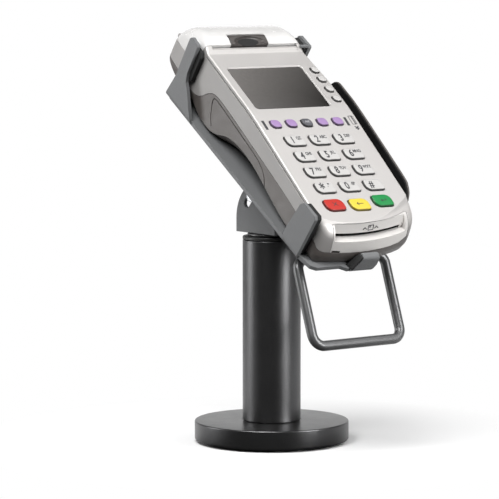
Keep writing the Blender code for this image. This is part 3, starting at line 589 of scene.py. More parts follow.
# Yoke: a folded channel whose cheeks carry the pivot hole and the arc slot
PIVOT = (-5.0, 148.0)
CHEEK, CHEEK_REAR = 25.3, -21.0
SLOT_RADIUS, SLOT_HALF, SLOT_FROM, SLOT_TO = 17.0, 2.8, 36.0, 72.5
lean = math.degrees(math.acos((CHEEK_REAR - PIVOT[0]) / CHEEK))
cheek = [(20.3, YOKE_LOW), *arc(PIVOT, CHEEK, 0, lean, 48), (CHEEK_REAR, YOKE_LOW)]
yoke = raw("tilt_fork", prism(cheek, -YOKE_HALF, YOKE_HALF, "x"), WORLD)
between, above_floor = YOKE_HALF - YOKE_SHEET, YOKE_LOW + 2.2
inside = [(-between, 220), (-between, above_floor), (between, above_floor), (between, 220)]
cut(yoke, prism(fillet(inside, [0, 1.6, 1.6, 0], 6), -60, 60, "y"), WORLD)
first, last = arc(PIVOT, SLOT_RADIUS, SLOT_FROM, SLOT_TO, 1)
slot = arc(PIVOT, SLOT_RADIUS + SLOT_HALF, SLOT_FROM, SLOT_TO, 20)
slot += arc(last, SLOT_HALF, SLOT_TO, SLOT_TO + 180, 10)[1:]
slot += arc(PIVOT, SLOT_RADIUS - SLOT_HALF, SLOT_TO, SLOT_FROM, 20)[1:]
slot += arc(first, SLOT_HALF, SLOT_FROM + 180, SLOT_FROM + 360, 10)[1:-1]
cut(yoke, prism(slot, -30, 30, "x"), WORLD)
PIN, PIN_HALF, PIN_HOLE = 3.0, 13.25, 3.3
cut(yoke, cylinder(PIN_HOLE, -13.3, 13.3, "x", PIVOT, 40), WORLD)
finish(yoke, grey_coat, "tilt_yoke", "turntable", bevel=0.35, steps=3)
pin = soft_bar(PIN, -PIN_HALF, PIN_HALF, "x", PIVOT, 0.35, 48)
piece("pivot_pin", pin, grey_coat, "tilt_pin", "turntable", WORLD, crease=35)

# Clamp bolt: socket head, washers, shank and a hexagon nut, lying along x outside the yoke
SHANK, HEAD, STAND_OUT, CHEEKS = 2.4, 4.4, 2.4, 14.3
lock = centre_of("lock_bolt", TERMINAL)
lock_at = (lock.y, lock.z)
end = CHEEKS + STAND_OUT
clamp = [(0, 1.4 - end), (SHANK * 0.62, 1.4 - end), (SHANK * 0.68, -end), (HEAD - 0.9, -end),
         (HEAD - 0.35, 0.12 - end), (HEAD - 0.1, 0.5 - end), (HEAD - 0.05, -CHEEKS - 0.7),
         (HEAD, -CHEEKS - 0.6), (HEAD, -CHEEKS), (SHANK, -CHEEKS), (SHANK, CHEEKS), (HEAD, CHEEKS),
         (HEAD, CHEEKS + 0.6), (SHANK, CHEEKS + 0.6), (SHANK, end - 0.4), (SHANK - 0.4, end), (0, end)]
clamp_bolt = raw("clamp_bolt", lay_along_x(turned(clamp, 48), (0, *lock_at)))
join(clamp_bolt, prism(circle(lock_at, HEAD - 0.2, 6), CHEEKS + 0.4, end - 0.5, "x"))
finish(clamp_bolt, zinc, "lock_bolt", bevel=0.12)

# ---------- grip plate, bracket and handle

SHEET = 2.5
pivot_in_plate = TERMINAL.inverted() @ Vector((0, *PIVOT))
pivot_at = (pivot_in_plate.y, pivot_in_plate.z)
ear = [(-70, -2.8), (-26, -2.8), (-28.5, -26), (-31.5, -31)] + arc(pivot_at, 6.6, -35, -150, 20)
bracket = raw("plate_ears", prism(ear, -11.2, 11.2, "x"))
inside = fillet([(-8.7, -90), (-8.7, -5.3), (8.7, -5.3), (8.7, -90)], [0, 1.2, 1.2, 0], 5)
cut(bracket, prism(inside, -90, 0, "y"))
cut(bracket, cylinder(PIN_HOLE, -30, 30, "x", pivot_at, 40))
cut(bracket, cylinder(SHANK + 0.3, -30, 30, "x", lock_at, 40))
finish(bracket, grey_coat, "plate_bracket", bevel=0.3, steps=3)

outline = [(-39.5, -138.2), (-43.4, -135.8), (-46, -125), (-46, 41), (-42, 45), (40, 45), (42, 42), (42, 12),
           (26, -8), (23, -126), (14, -134), (3, -138.2), (-13.5, -138.2), (-14.6, -140.9), (-16.6, -141.2),
           (-21.0, -138.2)]
outline = fillet(outline, [1.5, 1.5, 4, 3, 2, 2, 1, 6, 12, 6, 4, 2, 0.5, 0.5, 0.8, 1.5], 10, True)
plate = raw("grip_plate", prism(outline, -SHEET, 0, "z"))


def claw(start, outside, trim, radii, steps):
    """Bends a claw up from the plate's edge and trims it to its outline across the claw."""
    path = [(start, -SHEET / 2), (outside, -SHEET / 2), (outside, 50)]
    blank = raw("claw", prism(strip(path, SHEET, [0, 2.4, 0]), trim[0][0] - 40, trim[0][0] + 60, "y"))
    keep(blank, prism(fillet(trim, radii, steps, True), -80, 80, "x"))
    combine(plate, blank, "UNION")


LEFT_CLAW, RIGHT_CLAW = (-38, -46.55), (34, 43.05)
claw(*LEFT_CLAW, [(9, -6), (44.5, -6), (44.5, -1), (41.8, 16), (43, 44.8), (41.5, 46.8), (34.0, 46.2),
                  (33.0, 45.0), (32.4, 24.0), (30.6, 18.5), (26.4, 15), (13, 0.6)],
     [0, 0, 3, 4, 1.2, 1.0, 1.0, 0.8, 4, 3, 3, 3], 6)
claw(*RIGHT_CLAW, [(15, -6), (43.5, -6), (42, 16), (42.5, 44.6), (41, 46.2), (29.6, 46.2), (28.8, 45.2),
                   (29.6, 20)], [0, 0, 4, 1.5, 0.8, 0.6, 0.6, 4], 5)
claw(*LEFT_CLAW, [(-125, -6), (-106, -6), (-106.4, 8), (-109.5, 29.0), (-112, 31.6), (-125, 31.6),
                  (-126.8, 29.5)], [0, 0, 6, 3, 1.6, 1.2, 1.2], 6)
hook_path = [(-128, -SHEET / 2), (-141.75, -SHEET / 2), (-141.75, 8.65), (-138.45, 8.65)]
hook = raw("hook", prism(strip(hook_path, SHEET, [0, 1.6, 1.6, 0]), -20, 8, "x"))
hook_face = [(-15.4, -6), (1.4, -6), (1.4, -3), (4.4, 3), (4.4, 12), (-7.4, 12), (-15.4, -3)]
keep(hook, prism(fillet(hook_face, [0, 0, 1.5, 2, 0, 0, 0], 5, True), -150, -120, "y"))
combine(plate, hook, "UNION")

# The handle is one closed loop of round bar, held by two hangers under the plate
HANDLE_TOP, HANDLE_LOW, HANDLE_HALF, HANDLE_ROD = (-116.0, -13.0), (-161.8, -45.8), 36, 3.3
hanger = fillet([(-122, -1), (-122, -12), (-119, -18), (-113, -18), (-110, -12), (-110, -1)],
                [0, 2, 3, 3, 2, 0], 6)
for low, high in ((-23.0, -20.5), (18.5, 21.0)):
    join(plate, prism(hanger, low, high, "x"))
cut(plate, cylinder(HANDLE_ROD + 0.3, -30, 30, "x", HANDLE_TOP, 40))
# Lip that turns in over the right end of the paper cover
join(plate, box((35.8, 42.1), (29.2, 31.4), (44.8, 46.0)))
finish(plate, grey_coat, "back_plate")

loop = [(-HANDLE_HALF, *HANDLE_TOP), (-HANDLE_HALF, *HANDLE_LOW), (HANDLE_HALF, *HANDLE_LOW),
        (HANDLE_HALF, *HANDLE_TOP)]
bar = ring_bar(fillet(loop, [6.5, 8, 7, 6.5], 14, True), HANDLE_ROD, 40)
piece("loop_handle", bar, handle_coat, "handle", crease=60)

# Rubber linings follow the outlines of the claws: name, x from and to, outline across the claw
LININGS = (
    ("pad_upper_left", -45.2, -41.7, [(29.0, 20.0), (29.2, 38.5), (31.6, 42.0), (41.5, 42.0), (41.5, 20.0)]),
    ("pad_upper_right", 38.9, 41.7, [(30.0, 20.0), (29.8, 44.5), (41.6, 44.5), (41.2, 20.0)]),
    ("pad_lower_left", -45.2, -41.7, [(-124.8, 1.4), (-107.2, 1.4), (-110.2, 28.8), (-112.3, 31.3),
                                      (-124.8, 31.3), (-126.5, 29.3)]),
)
for name, low, high, rim in LININGS:
    piece(f"{name}_lining", prism(fillet(rim, [0.8] * len(rim), 4, True), low, high, "x"), rubber, name,
          bevel=0.5, steps=4)

behind_hook = [(-15.8, 0.3), (1.2, 0.3), (1.2, 7.2), (-11.0, 7.2)]
hook_lining = raw("hook_pad_lining", prism(behind_hook, -140.4, -137.4, "y"))
join(hook_lining, prism([(-15.2, 0.4), (-13.8, 0.4), (-9.0, 9.4), (-10.4, 9.4)], -142.9, -138.6, "y"))
finish(hook_lining, rubber, "hook_pad")

# ---------- case

WALL = 2.4
LEFT_SIDE, UNDERSIDE = 41.4, 0.3
# Power of the curve that rounds the lower edges: two is an ellipse, one is a flat chamfer
EDGE_POWER = 1.15


def station(y, top, run, rise, right=LEFT_SIDE, corner=1.6, groove=0.6):
    """A section of the case: y, half widths left and right, bottom and top, run and rise of the rounded lower
    edges, radius of the top corners and depth of the groove under them."""
    return (y, LEFT_SIDE, right, UNDERSIDE, top, run, rise, corner, groove)


STATIONS = [station(*row) for row in (
    (-141.0, 24.47, 2.5, 2.5, 41.4, 1.6, 0.0), (-118.0, 27.62, 2.5, 2.5, 41.4, 1.6, 0.0),
    (-115.5, 27.96, 2.5, 2.3), (-104.8, 29.43, 4.0, 2.4), (-95.0, 30.77, 6.0, 3.6), (-84.0, 32.28, 9.0, 5.6),
    (-72.0, 33.92, 12.5, 8.2), (-59.0, 35.68, 16.0, 11.3), (-47.0, 37.32, 18.0, 13.3),
    (-36.0, 38.81, 18.0, 13.7), (-27.0, 39.82, 17.0, 12.9), (-18.0, 40.27, 15.0, 10.6),
    (-9.0, 40.73, 9.0, 5.4), (0.0, 41.18, 5.0, 2.6, 41.2), (12.0, 41.83, 5.0, 3.5, 40.0),
    (20.0, 42.23, 7.0, 6.0, 39.2),
    (27.6, 42.6, 9.0, 9.0, 38.6), (28.2, 42.7, 9.0, 9.0, 38.6, 1.7, 0.0),
)]
REAR_STATIONS = (
    STATIONS[-1],
    (33.0, 41.35, 38.4, 0.3, 45.3, 9.0, 9.0, 3.0, 0.0),
    (40.0, 41.2, 38.2, 0.4, 47.5, 9.0, 9.0, 6.0, 0.0),
    (48.0, 41.0, 38.0, 0.8, 47.0, 9.0, 9.0, 8.0, 0.0),
    (56.0, 40.5, 37.7, 2.4, 43.8, 9.0, 9.0, 8.5, 0.0),
    (61.5, 39.6, 37.0, 5.0, 38.8, 8.0, 8.0, 8.0, 0.0),
    (64.5, 38.4, 36.0, 9.0, 33.6, 6.0, 6.0, 6.0, 0.0),
    (66.0, 36.8, 34.8, 13.0, 28.6, 4.0, 4.0, 3.0, 0.0),
)
# Levels of the rounded nose: z, foremost y, how far it falls back over its reach, left and right corner radii
# The nose is foremost left of the middle and falls back toward the swipe rail
NOSE_MIDDLE, NOSE_REACH = -12.0, 36
NOSE = (
    (-2.0, -132.5, 4.4, 4.0, 14.0),
    (0.3, -134.6, 4.4, 4.5, 14.0),
    (1.2, -135.6, 4.4, 5.0, 14.0),
    (5.6, -136.9, 4.4, 6.5, 13.0),
    (6.2, -137.0, 4.4, 7.0, 12.5),
    (7.4, -137.0, 4.4, 7.5, 12.0),
    (9.0, -136.7, 4.4, 8.0, 11.0),
    (13.0, -136.0, 4.5, 9.0, 10.0),
    (18.5, -134.6, 4.7, 9.5, 9.0),
    (22.5, -132.2, 5.2, 9.0, 8.0),
    (25.0, -129.5, 6.0, 8.5, 7.5),
    (26.4, -127.2, 6.8, 8.0, 7.0),
    (27.6, -125.3, 7.0, 8.0, 7.0),
    (31.0, -120.4, 7.2, 8.0, 7.0),
    (60.0, -80.0, 7.2, 8.0, 7.0),
)
# Line where the dark lower case meets the light upper case: y, z
PARTING = ((-150.0, 9.3), (-133.0, 9.3), (-126.0, 13.2), (-102.0, 16.6), (-88.0, 18.5), (-64.0, 20.9),
           (-40.0, 23.1), (-12.0, 25.6), (2.0, 26.2), (9.0, 25.0), (13.6, 21.6), (17.6, 16.8), (22.0, 13.6),
           (28.0, 12.4), (36.0, 13.0), (50.0, 14.6), (80.0, 15.5))
PARTING_GAP = 0.3
# Joint line between the case and the front bezel
BEZEL_TOP = 25.4


def groove_steps(depth):
    """The groove under a top corner: distances below the corner and depths into the side."""
    return ((1.35, 0.0), (1.3, 2 * depth), (0.6, 2 * depth), (0.5, 0.12 if depth else 0.0))


def case_ring(section, inset=0.0, low_steps=10, high_steps=6):
    """Outline of the case at one section, moved inward by an inset. Only the outer one has the grooves."""
    y, left, right, bottom, top, run, rise, corner, groove = section
    left, right = left - inset, right - inset
    bottom, top = bottom + inset, top - inset
    thinner = 1 - inset * (1 / run + 1 / rise - math.hypot(1 / run, 1 / rise))
    run, rise = max(run * thinner, 0.6), max(rise * thinner, 0.6)
    corner = max(corner - inset, 0.8)
    power = 2 / EDGE_POWER
    turns = (math.pi / 2 * k / low_steps for k in range(low_steps + 1))
    curve = [(run - run * abs(math.cos(a)) ** power, rise - rise * math.sin(a) ** power) for a in turns]
    ring = [(-left + inward, y, bottom + up) for inward, up in curve]
    ring += [(right - inward, y, bottom + up) for inward, up in reversed(curve)]
    shoulder = top - corner
    steps = () if inset else groove_steps(groove)
    ring += [(right - inward, y, shoulder - down) for down, inward in steps]
    corners = arc((right - corner, shoulder), corner, 0, 90, high_steps)
    corners += arc((corner - left, shoulder), corner, 90, 180, high_steps)
    ring += [(x, y, z) for x, z in corners]
    return ring + [(-left + inward, y, shoulder - down) for down, inward in reversed(steps)]


def case_body():
    return loft([case_ring(s) for s in smooth_line(STATIONS[:-1], 2) + smooth_line(REAR_STATIONS, 3)])


def fallen_back(x):
    """How far the nose has fallen back at x, as a share of what it falls over its reach."""
    return ((x - NOSE_MIDDLE) / NOSE_REACH) ** 2


def nose_body():
    """Everything behind the curved front of the case."""
    rings = []
    for z, front, fall, left, right in [NOSE[0], *smooth_line(NOSE[1:-1], 3), NOSE[-1]]:
        path = [(x, front + fall * fallen_back(x)) for x in (-41.5, -26, -17, -8, 0, 8, 17, 26, 41.5)]
        path = [(-46.0, 120.0), *path, (46.0, 120.0)]
        corners = [0.0] * len(path)
        corners[1], corners[-2] = left, right
        rings.append([(x, y, z) for x, y in fillet(path, corners, 10)])
    return loft(rings)


def case_cavity():
    inner = [(-131.0, 38.0, 24.0, 2.7, 23.6, 5, 5, 6, 0), (-126.0, 40.0, 35.0, 0.3, 26.0, 5, 5, 7, 0)]
    return loft([case_ring(s, WALL, 6, 3) for s in (*inner, *STATIONS[2:-1], *REAR_STATIONS[:-2])])


line = smooth_line(PARTING, 4)
seam = strip(line, PARTING_GAP)
above = seam[: len(line)] + [(80, 80), (-150, 80)]
below = seam[: len(line) - 1 : -1] + [(80, -20), (-150, -20)]


def shell(name, side):
    made = raw(name, case_body())
    keep(made, nose_body())
    keep(made, prism(side, -60, 60, "x"))
    cut(made, case_cavity())
    return made


# Dark lower case with an inset panel on its left side, vents, screw wells and a label recess underneath
SCREWS = [(x, y) for y in (-118.0, -12.0) for x in (-27.0, 27.0)]
SOCKETS = ((-14.0, 12.0), (3.0, 12.0), (17.0, 7.5))
lower_case = shell("lower_case", below)
panel = smooth_line([(-1.5, 6.5), (2.0, 10.5), (4.8, 16.0), (6.6, 21.0), (6.0, 23.4), (3.0, 23.9),
                     (-8.0, 23.3), (-40.0, 20.6), (-52.0, 19.3), (-59.0, 17.5), (-64.0, 14.5),
                     (-67.5, 10.5), (-69.5, 5.0)], 6)
cut(lower_case, prism(strip(panel, 0.7), -43.0, -40.4, "x"))
for k in range(9):
    y = -20.0 - 5.0 * k
    cut(lower_case, box((37.9, 43.1), (y, y + 1.6), (17.8, 19.2)))
for at in SCREWS:
    cut(lower_case, cylinder(3.4, -1, 0.9, "z", at, 40))
for k in range(7):
    x = -12 + 4 * k
    cut(lower_case, box((x - 0.8, x + 0.8), (-44, -30), (-1, 4)))
cut(lower_case, prism(rounded(0, -78, 46, 30, (2, 2, 2, 2)), -1, 0.55, "z"))
for x, width in SOCKETS:
    cut(lower_case, box((x - width / 2, x + width / 2), (56, 72), (5.5, 12.5)))
finish(lower_case, dark_plastic, "bottom_case", crease=32)

screws = bmesh.new()
for x, y in SCREWS:
    one = turned([(0, 0.75), (1.0, 0.7), (1.2, 0.42), (2.6, 0.4), (2.9, 0.55), (2.9, 1.6), (0, 1.6)], 32)
    bmesh.ops.translate(one, verts=one.verts, vec=(x, y, 0))
    spare = bpy.data.meshes.new("screw")
    one.to_mesh(spare)
    one.free()
    screws.from_mesh(spare)
    bpy.data.meshes.remove(spare)
piece("case_screws", screws, zinc, crease=35)

sockets = bmesh.new()
for x, width in SOCKETS:
    box((x - width / 2 + 0.3, x + width / 2 - 0.3), (56.5, 58.0), (5.8, 12.2), sockets)
    box((x - width / 2 + 2.2, x + width / 2 - 2.2), (57.9, 62.0), (8.2, 10.2), sockets)
piece("cable_sockets", sockets, black_plastic, bevel=0.2)

# Light upper case
upper_case = shell("upper_case", above)
cut(upper_case, box((-60, 60), (33.5, 90), (28.75, 80)))
cut(upper_case, box((-36.2, 34.2), (29.6, 34.5), (34, 80)))
cut(upper_case, box((36, 60), (-66.3, -53.7), (27.2, 32.8)))

RECESS_LEFT, RECESS_WIDTH, RECESS_COLUMNS = -30.5, 61.9, 14
THROAT_HALF = 27.7


def recess_low(x):
    """y of the recess's back wall where it meets the slot."""
    return -129.9 + 4.2 * fallen_back(x)


def slot_recess():
    """The hollow above the slot. Its back wall follows the curve of the nose."""
    rings = []
    for k in range(RECESS_COLUMNS + 1):
        x = RECESS_LEFT + RECESS_WIDTH * k / RECESS_COLUMNS
        high, low = -127.9 + 5.0 * fallen_back(x), recess_low(x)
        rings.append([(x, -150, 16.8), (x, -150, 26.1), (x, high, 25.9), (x, high - 0.3, 24.9),
                      (x, low, 19.4), (x, low, 16.8)])
    return loft(rings)


cut(upper_case, box((-31.8, 34.3), (-150, -119.3), (0, BEZEL_TOP)))
cut(upper_case, slot_recess())

# Flare of the openings in the face: height against the face, and how much wider the opening is there
RIM = ((-8.0, 0.0), (-0.5, 0.0), (-0.24, 0.05), (-0.09, 0.17), (0.2, 0.56))
WINDOW_RIM = ((-8.0, 0.0), (-0.9, 0.0), (-0.62, 0.06), (0.4, 1.1))
WINDOW = (60.6, 39.6)
SCREEN_KEY = (5.6, 5.4, (2.2, 1.6, 2.6, 1.6))
# Rounding of a key's top: how far in from its side and how far below its top
CROWN = ((0, 0.72), (0.05, 0.48), (0.17, 0.27), (0.38, 0.12), (0.7, 0.03), (1.3, 0.0))


def hole(x, y, width, depth, radii, shape=None, rim=RIM):
    clear = 0.35
    return loft([[(a, b, z) for a, b in rounded(x, y, width, depth, radii, clear + flare)]
                 for z, flare in rim], shape)


def key_shape(x, y, width, depth, radii, sink, top=1.5, crown=0.1):
    levels = [(0, -sink)] + [(inset, top - down) for inset, down in CROWN]
    levels += [(2.2, top + crown * 0.7), (3.0, top + crown)]
    most = min(width, depth) / 2 - 0.25
    return loft([[(a, b, z) for a, b in rounded(x, y, width, depth, radii, -min(inset, most))]
                 for inset, z in levels])


# Keys by name: width, depth, corner radii and finish
NUMBERS = ("1", "2", "3", "4", "5", "6", "7", "8", "9", "star", "0", "hash")
keys = {f"key_{name}": (14.9, 8.8, (3.6, 2.0, 4.1, 2.0), key_light) for name in NUMBERS}
for name, coating in (("cancel", key_red), ("clear", key_yellow), ("enter", key_green)):
    keys[f"key_{name}"] = (15.0, 9.4, (4.6, 2.2, 4.6, 2.2), coating)
for k in range(5):
    keys[f"function_key_{k + 1}"] = (7.6, 6.4, (3.0, 1.8, 3.0, 1.8), key_dark if k == 2 else key_purple)
screen_keys = [f"screen_key_{k + 1}" for k in range(4)]

holes = bmesh.new()
for name, (*size, _) in keys.items():
    hole(*centre_of(name, KEYPAD).xy, *size, holes)
cut(upper_case, holes, KEYPAD)
holes = bmesh.new()
for name in screen_keys:
    hole(*centre_of(name, DISPLAY).xy, *SCREEN_KEY, holes)
cut(upper_case, holes, DISPLAY)
glass = centre_of("display_window", DISPLAY)
cut(upper_case, hole(glass.x, glass.y, *WINDOW, (1.6,) * 4, rim=WINDOW_RIM), DISPLAY)

cut(upper_case, cylinder(2.4, -30.3, 28.3, "x", HINGE))
for low, high in ((-35.5, -30.3), (28.3, 33.5)):
    join(upper_case, soft_bar(2.0, low, high, "x", HINGE, 0.25, 48))
cut(upper_case, cylinder(1.3, -34.6, 32.6, "x", HINGE, 32))
finish(upper_case, silver, "top_case", crease=38, even=True)

# Black strip in the groove under each upper edge of the face, which shows the groove as a dark line
for name, sign, start in (("seal_left", -1, 3), ("seal_right", 1, 4)):
    rings = []
    for y, left, right, _, top, _, _, corner, groove in smooth_line(STATIONS[start:-1], 2):
        outside = left if sign < 0 else right
        inner, outer = sign * (outside - 2 * groove + 0.05), sign * (outside - 0.4)
        low, high = top - corner - 1.28, top - corner - 0.64
        rings.append([(inner, y, low), (outer, y, low), (outer, y, high), (inner, y, high)])
    piece(name, loft(rings), black_plastic)

for name, (*size, coating) in keys.items():
    cap = key_shape(*centre_of(name, KEYPAD).xy, *size, 3.6)
    piece(f"{name}_cap", cap, coating, name, name, KEYPAD, crease=40)
for name in screen_keys:
    cap = key_shape(*centre_of(name, DISPLAY).xy, *SCREEN_KEY, 5.2, 1.45, 0.05)
    piece(f"{name}_cap", cap, key_light, name, name, DISPLAY, crease=40)

# Front bezel: a recess under the lip of the face runs down into the chip-card slot, with a ledge below
bezel = raw("front_bezel", case_body())
keep(bezel, nose_body())
keep(bezel, prism(above, -60, 60, "x"))
keep(bezel, box((-31.5, 34.0), (-140, -119.5), (0, BEZEL_TOP - 0.2)))
cut(bezel, box((-29.9, 29.9), (-124.2, -100), (12.1, 20.0)))
cut(bezel, slot_recess())
cut(bezel, box((-30.3, 31.2), (-150, -125.5), (16.8, 19.4)))
cut(bezel, box((-28, 28), (-150, -110), (16.7, 19.3)))
for low, high, depth in ((-30.8, -24.6, -133.6), (28.6, 33.5, -128.4)):
    cut(bezel, box((low, high), (-150, depth), (5, 10.6)))
finish(bezel, bezel_plastic, "card_bezel", even=True)

# Near-black throat inside the slot, following the curve of the recess, with the slit for the card: painted
# shade in the slot
rings = []
for k in range(RECESS_COLUMNS + 1):
    x = -THROAT_HALF + 2 * THROAT_HALF * k / RECESS_COLUMNS
    front, back = recess_low(x) + 0.6, -123.7
    rings.append([(x, front, 17.0), (x, back, 17.0), (x, back, 19.0), (x, front, 19.0)])
throat = raw("slot_throat", loft(rings))
cut(throat, box((-27.1, 27.1), (-150, -110), (17.5, 18.5)))
finish(throat, painted_shade_black)

# ---------- paper cover, latch and printer

ROLLER_AT, IDLER_AT = (37.0, 39.0), (30.5, 29.5)

cover = raw("roll_cover", case_body())
keep(cover, box((-60, 60), (33.8, 90), (29.05, 80)))
cut(cover, case_cavity())
cut(cover, box((-20.0, 11.0), (30, 42.4), (40, 60)))
for low, high in ((-35.9, -29.9), (27.9, 33.9)):
    cut(cover, cylinder(2.4, low, high, "x", HINGE))
join(cover, cylinder(2.0, -29.9, 27.9, "x", HINGE))
join(cover, cylinder(1.0, -34.2, 32.2, "x", HINGE, 32))
for low, high in ((-34.6, -32.4), (31.2, 33.4)):
    join(cover, box((low, high), (34.2, 40.2), (35.6, 45.8)))
cut(cover, cylinder(1.5, -36.0, 33.6, "x", ROLLER_AT, 32))
finish(cover, frosted, "paper_cover", "cover", crease=34)

# Release tab with a finger scoop, and a black lens at the bottom of the scoop as painted shade in it
tab_side = [(33.9, 43.0), (42.1, 43.6), (42.0, 45.6), (41.3, 47.5), (40.6, 48.0), (39.6, 48.1), (36.5, 47.4),
            (34.4, 46.6), (33.9, 46.1)]
tab = raw("release_tab", prism(tab_side, -19.7, 10.7, "x"))
cut(tab, ellipsoid((12.6, 4.4, 3.0), (-4.5, 35.2, 47.6), 40))
piece("scoop_painted_shade", ellipsoid((11.4, 3.5, 0.5), (-4.5, 36.6, 45.3), 24, 14), rubber, body="latch", crease=60)
finish(tab, tab_plastic, "cover_latch", "latch", bevel=0.25, steps=3, limit=40)

# Tear bar with its serrated edge, on the print head
TEETH, TOOTH_LOW, TOOTH_HIGH = 48, 42.6, 43.1
TEAR_LEFT, TEAR_RIGHT = -30.5, 28.0
pitch = (TEAR_RIGHT - TEAR_LEFT) / TEETH
teeth = [(TEAR_LEFT, 33.0), (TEAR_RIGHT, 33.0), (TEAR_RIGHT, TOOTH_LOW)]
for k in range(TEETH):
    teeth += [(TEAR_RIGHT - pitch * (k + 0.5), TOOTH_HIGH), (TEAR_RIGHT - pitch * (k + 1), TOOTH_LOW)]
piece("print_head", prism(teeth, 30.2, 33.0, "y"), zinc, "thermal_head", crease=25)

# Moulded guide strip in front of the tear bar
guide = fillet([(29.75, 34.5), (29.75, 43.3), (30.9, 44.0), (32.9, 43.9), (32.9, 43.3), (30.2, 42.6),
                (30.15, 34.5)], [0, 0.5, 0.8, 0.2, 0.2, 0.2, 0], 4, True)
piece("tear_guide", prism(guide, -36.0, 34.0, "x"), silver, crease=35)

# Paper roll on its core, its ends wound in fine layers
CORE, LAYERS, ROLL, ROLL_HALF = 6.2, 12, 14.4, 28.5
layers = [CORE + 0.4 + 7.6 * k / LAYERS for k in range(LAYERS)]
side = [(CORE, ROLL_HALF)]
for radius in layers:
    side += [(radius, ROLL_HALF), (radius + 0.32, ROLL_HALF - 0.12)]
side += [(ROLL - 0.1, ROLL_HALF), (ROLL, ROLL_HALF - 0.1)]
wound = [(radius, -z) for radius, z in side] + side[::-1]
roll = lay_along_x(turned(wound, 96, True), centre_of("paper_roll", TERMINAL))
piece("receipt_roll", roll, paper, "paper_roll", "roll")


def gear_outline(centre, teeth_count, module):
    """A gear of simple teeth with rounded-off tips."""
    tip = module * teeth_count / 2
    root, shoulder = tip - 2 * module, tip - 0.35 * module
    flank = ((0.0, root), (0.25, root), (0.33, shoulder), (0.42, tip), (0.58, tip), (0.67, shoulder))
    points = []
    for i in range(teeth_count):
        for share, radius in flank:
            angle = 2 * math.pi * (i + share + 0.25) / teeth_count
            points.append((centre[0] + radius * math.cos(angle), centre[1] + radius * math.sin(angle)))
    return points


MODULE = 0.6
roller = raw("feed_roller", soft_bar(3.1, -31.5, 28.5, "x", ROLLER_AT, 0.3, 80))
join(roller, cylinder(1.2, -34.3, 34.5, "x", ROLLER_AT, 40))
join(roller, prism(gear_outline(ROLLER_AT, 12, MODULE), 33.8, 35.3, "x"))
finish(roller, rubber, "platen_roller", "platen")

idler = raw("idler_gear", prism(gear_outline(IDLER_AT, 24, MODULE), 33.6, 35.3, "x"))
for x, y in circle(IDLER_AT, 3.4, 5):
    cut(idler, cylinder(1.0, 33, 36, "x", (x, y), 24))
join(idler, cylinder(1.3, 28.5, 34.5, "x", IDLER_AT, 40))
finish(idler, nylon, "drive_gear", "gear")

# ---------- display, swipe rail

pane = loft([[(a, b, z) for a, b in rounded(glass.x, glass.y, *WINDOW, (1.4,) * 4, grow)]
             for z, grow in ((-1.7, 0), (-0.62, 0), (-0.52, -0.1), (-0.5, -0.3))])
piece("display_pane", pane, window, "display_window", place=DISPLAY)

# The rail is a wall with a floor along the case's right side, with a near-black strip on its inner face where
# the card slides: painted shade
rail_top = smooth_line([(0.0, 33.8), (-0.6, 37.6), (-2.6, 40.4), (-6.4, 41.7), (-14, 41.5), (-29.4, 40.6),
                        (-66.2, 35.9), (-94, 32.0), (-99.5, 30.0), (-103.3, 26.6), (-105.3, 22.0)], 5)
rail_low = [(-105.5, 17.8), (-88, 19.6), (-66.2, 22.2), (-29.4, 27.0), (0.0, 29.7)]
rail_floor = [(0.0, 30.8), (-29.4, 28.8), (-66.2, 24.0), (-88, 21.3), (-105.5, 19.0)]
rail = raw("card_rail", prism(rail_top + rail_low, 46.4, 47.6, "x"))
join(rail, prism(rail_floor + rail_low, 41.7, 46.8, "x"))
finish(rail, dark_plastic, "swipe_rail")
# Near-black strip on the rail's inner face: painted shade
lining = smooth_line([(-0.3, 33.6), (-0.9, 37.3), (-2.9, 40.0), (-6.6, 41.3), (-14, 41.1), (-29.4, 40.2),
                      (-66.2, 35.5), (-94, 31.6), (-99.3, 29.6), (-103.0, 26.3), (-105.0, 22.0)], 5)
lining += [(-105.2, 19.2), (-88, 21.5), (-66.2, 24.2), (-29.4, 29.0), (-0.3, 31.1)]
piece("rail_painted_shade", prism(lining, 45.3, 46.35, "x"), painted_shade_black)

reader = raw("stripe_head", prism(rounded(-60.0, 30.0, 11.4, 3.8, (0.6,) * 4), 36.4, 42.6, "x"))
face = fillet([(-63.0, 28.8), (-57.0, 28.8), (-57.0, 31.2), (-63.0, 31.2)], [0.8] * 4, 6, True)
join(reader, prism(face, 42.0, 43.0, "x"))
finish(reader, zinc, "magnetic_head", bevel=0.15)

# CAD nodes that stay as they are, with finishes of their own
for node, coating in (("display_module", glass_back), ("key_membrane", silicone), ("main_board", board),
                      ("chip_reader", black_plastic), ("printer_frame", black_plastic), ("feed_motor", zinc)):
    nodes[node].data.materials.clear()
    nodes[node].data.materials.append(coating.material)

# ---------- printed marks

# Height of a key's top over the keypad, and how far print is sunk in and stands proud
KEY_TOP = 1.6
SUNK, PROUD = 0.15, 0.05
SIGN_SUNK, SIGN_PROUD = 0.1, 0.03


def draw(lines, width, low, high, shape, at=(0, 0), rise=0.0):
    """Printed lines with square ends, each a little higher than the one before where they cross."""
    for k, points in enumerate(lines):
        moved = [(at[0] + x, at[1] + y) for x, y in points]
        prism(strip(moved, width, steps=1), low, high + rise * k, "z", shape)


def card_outline(left, low, right, high):
    corners = [(left, low), (right, low), (right, high), (left, high)]
    return [[corners[k - 1], corners[k]] for k in range(4)]


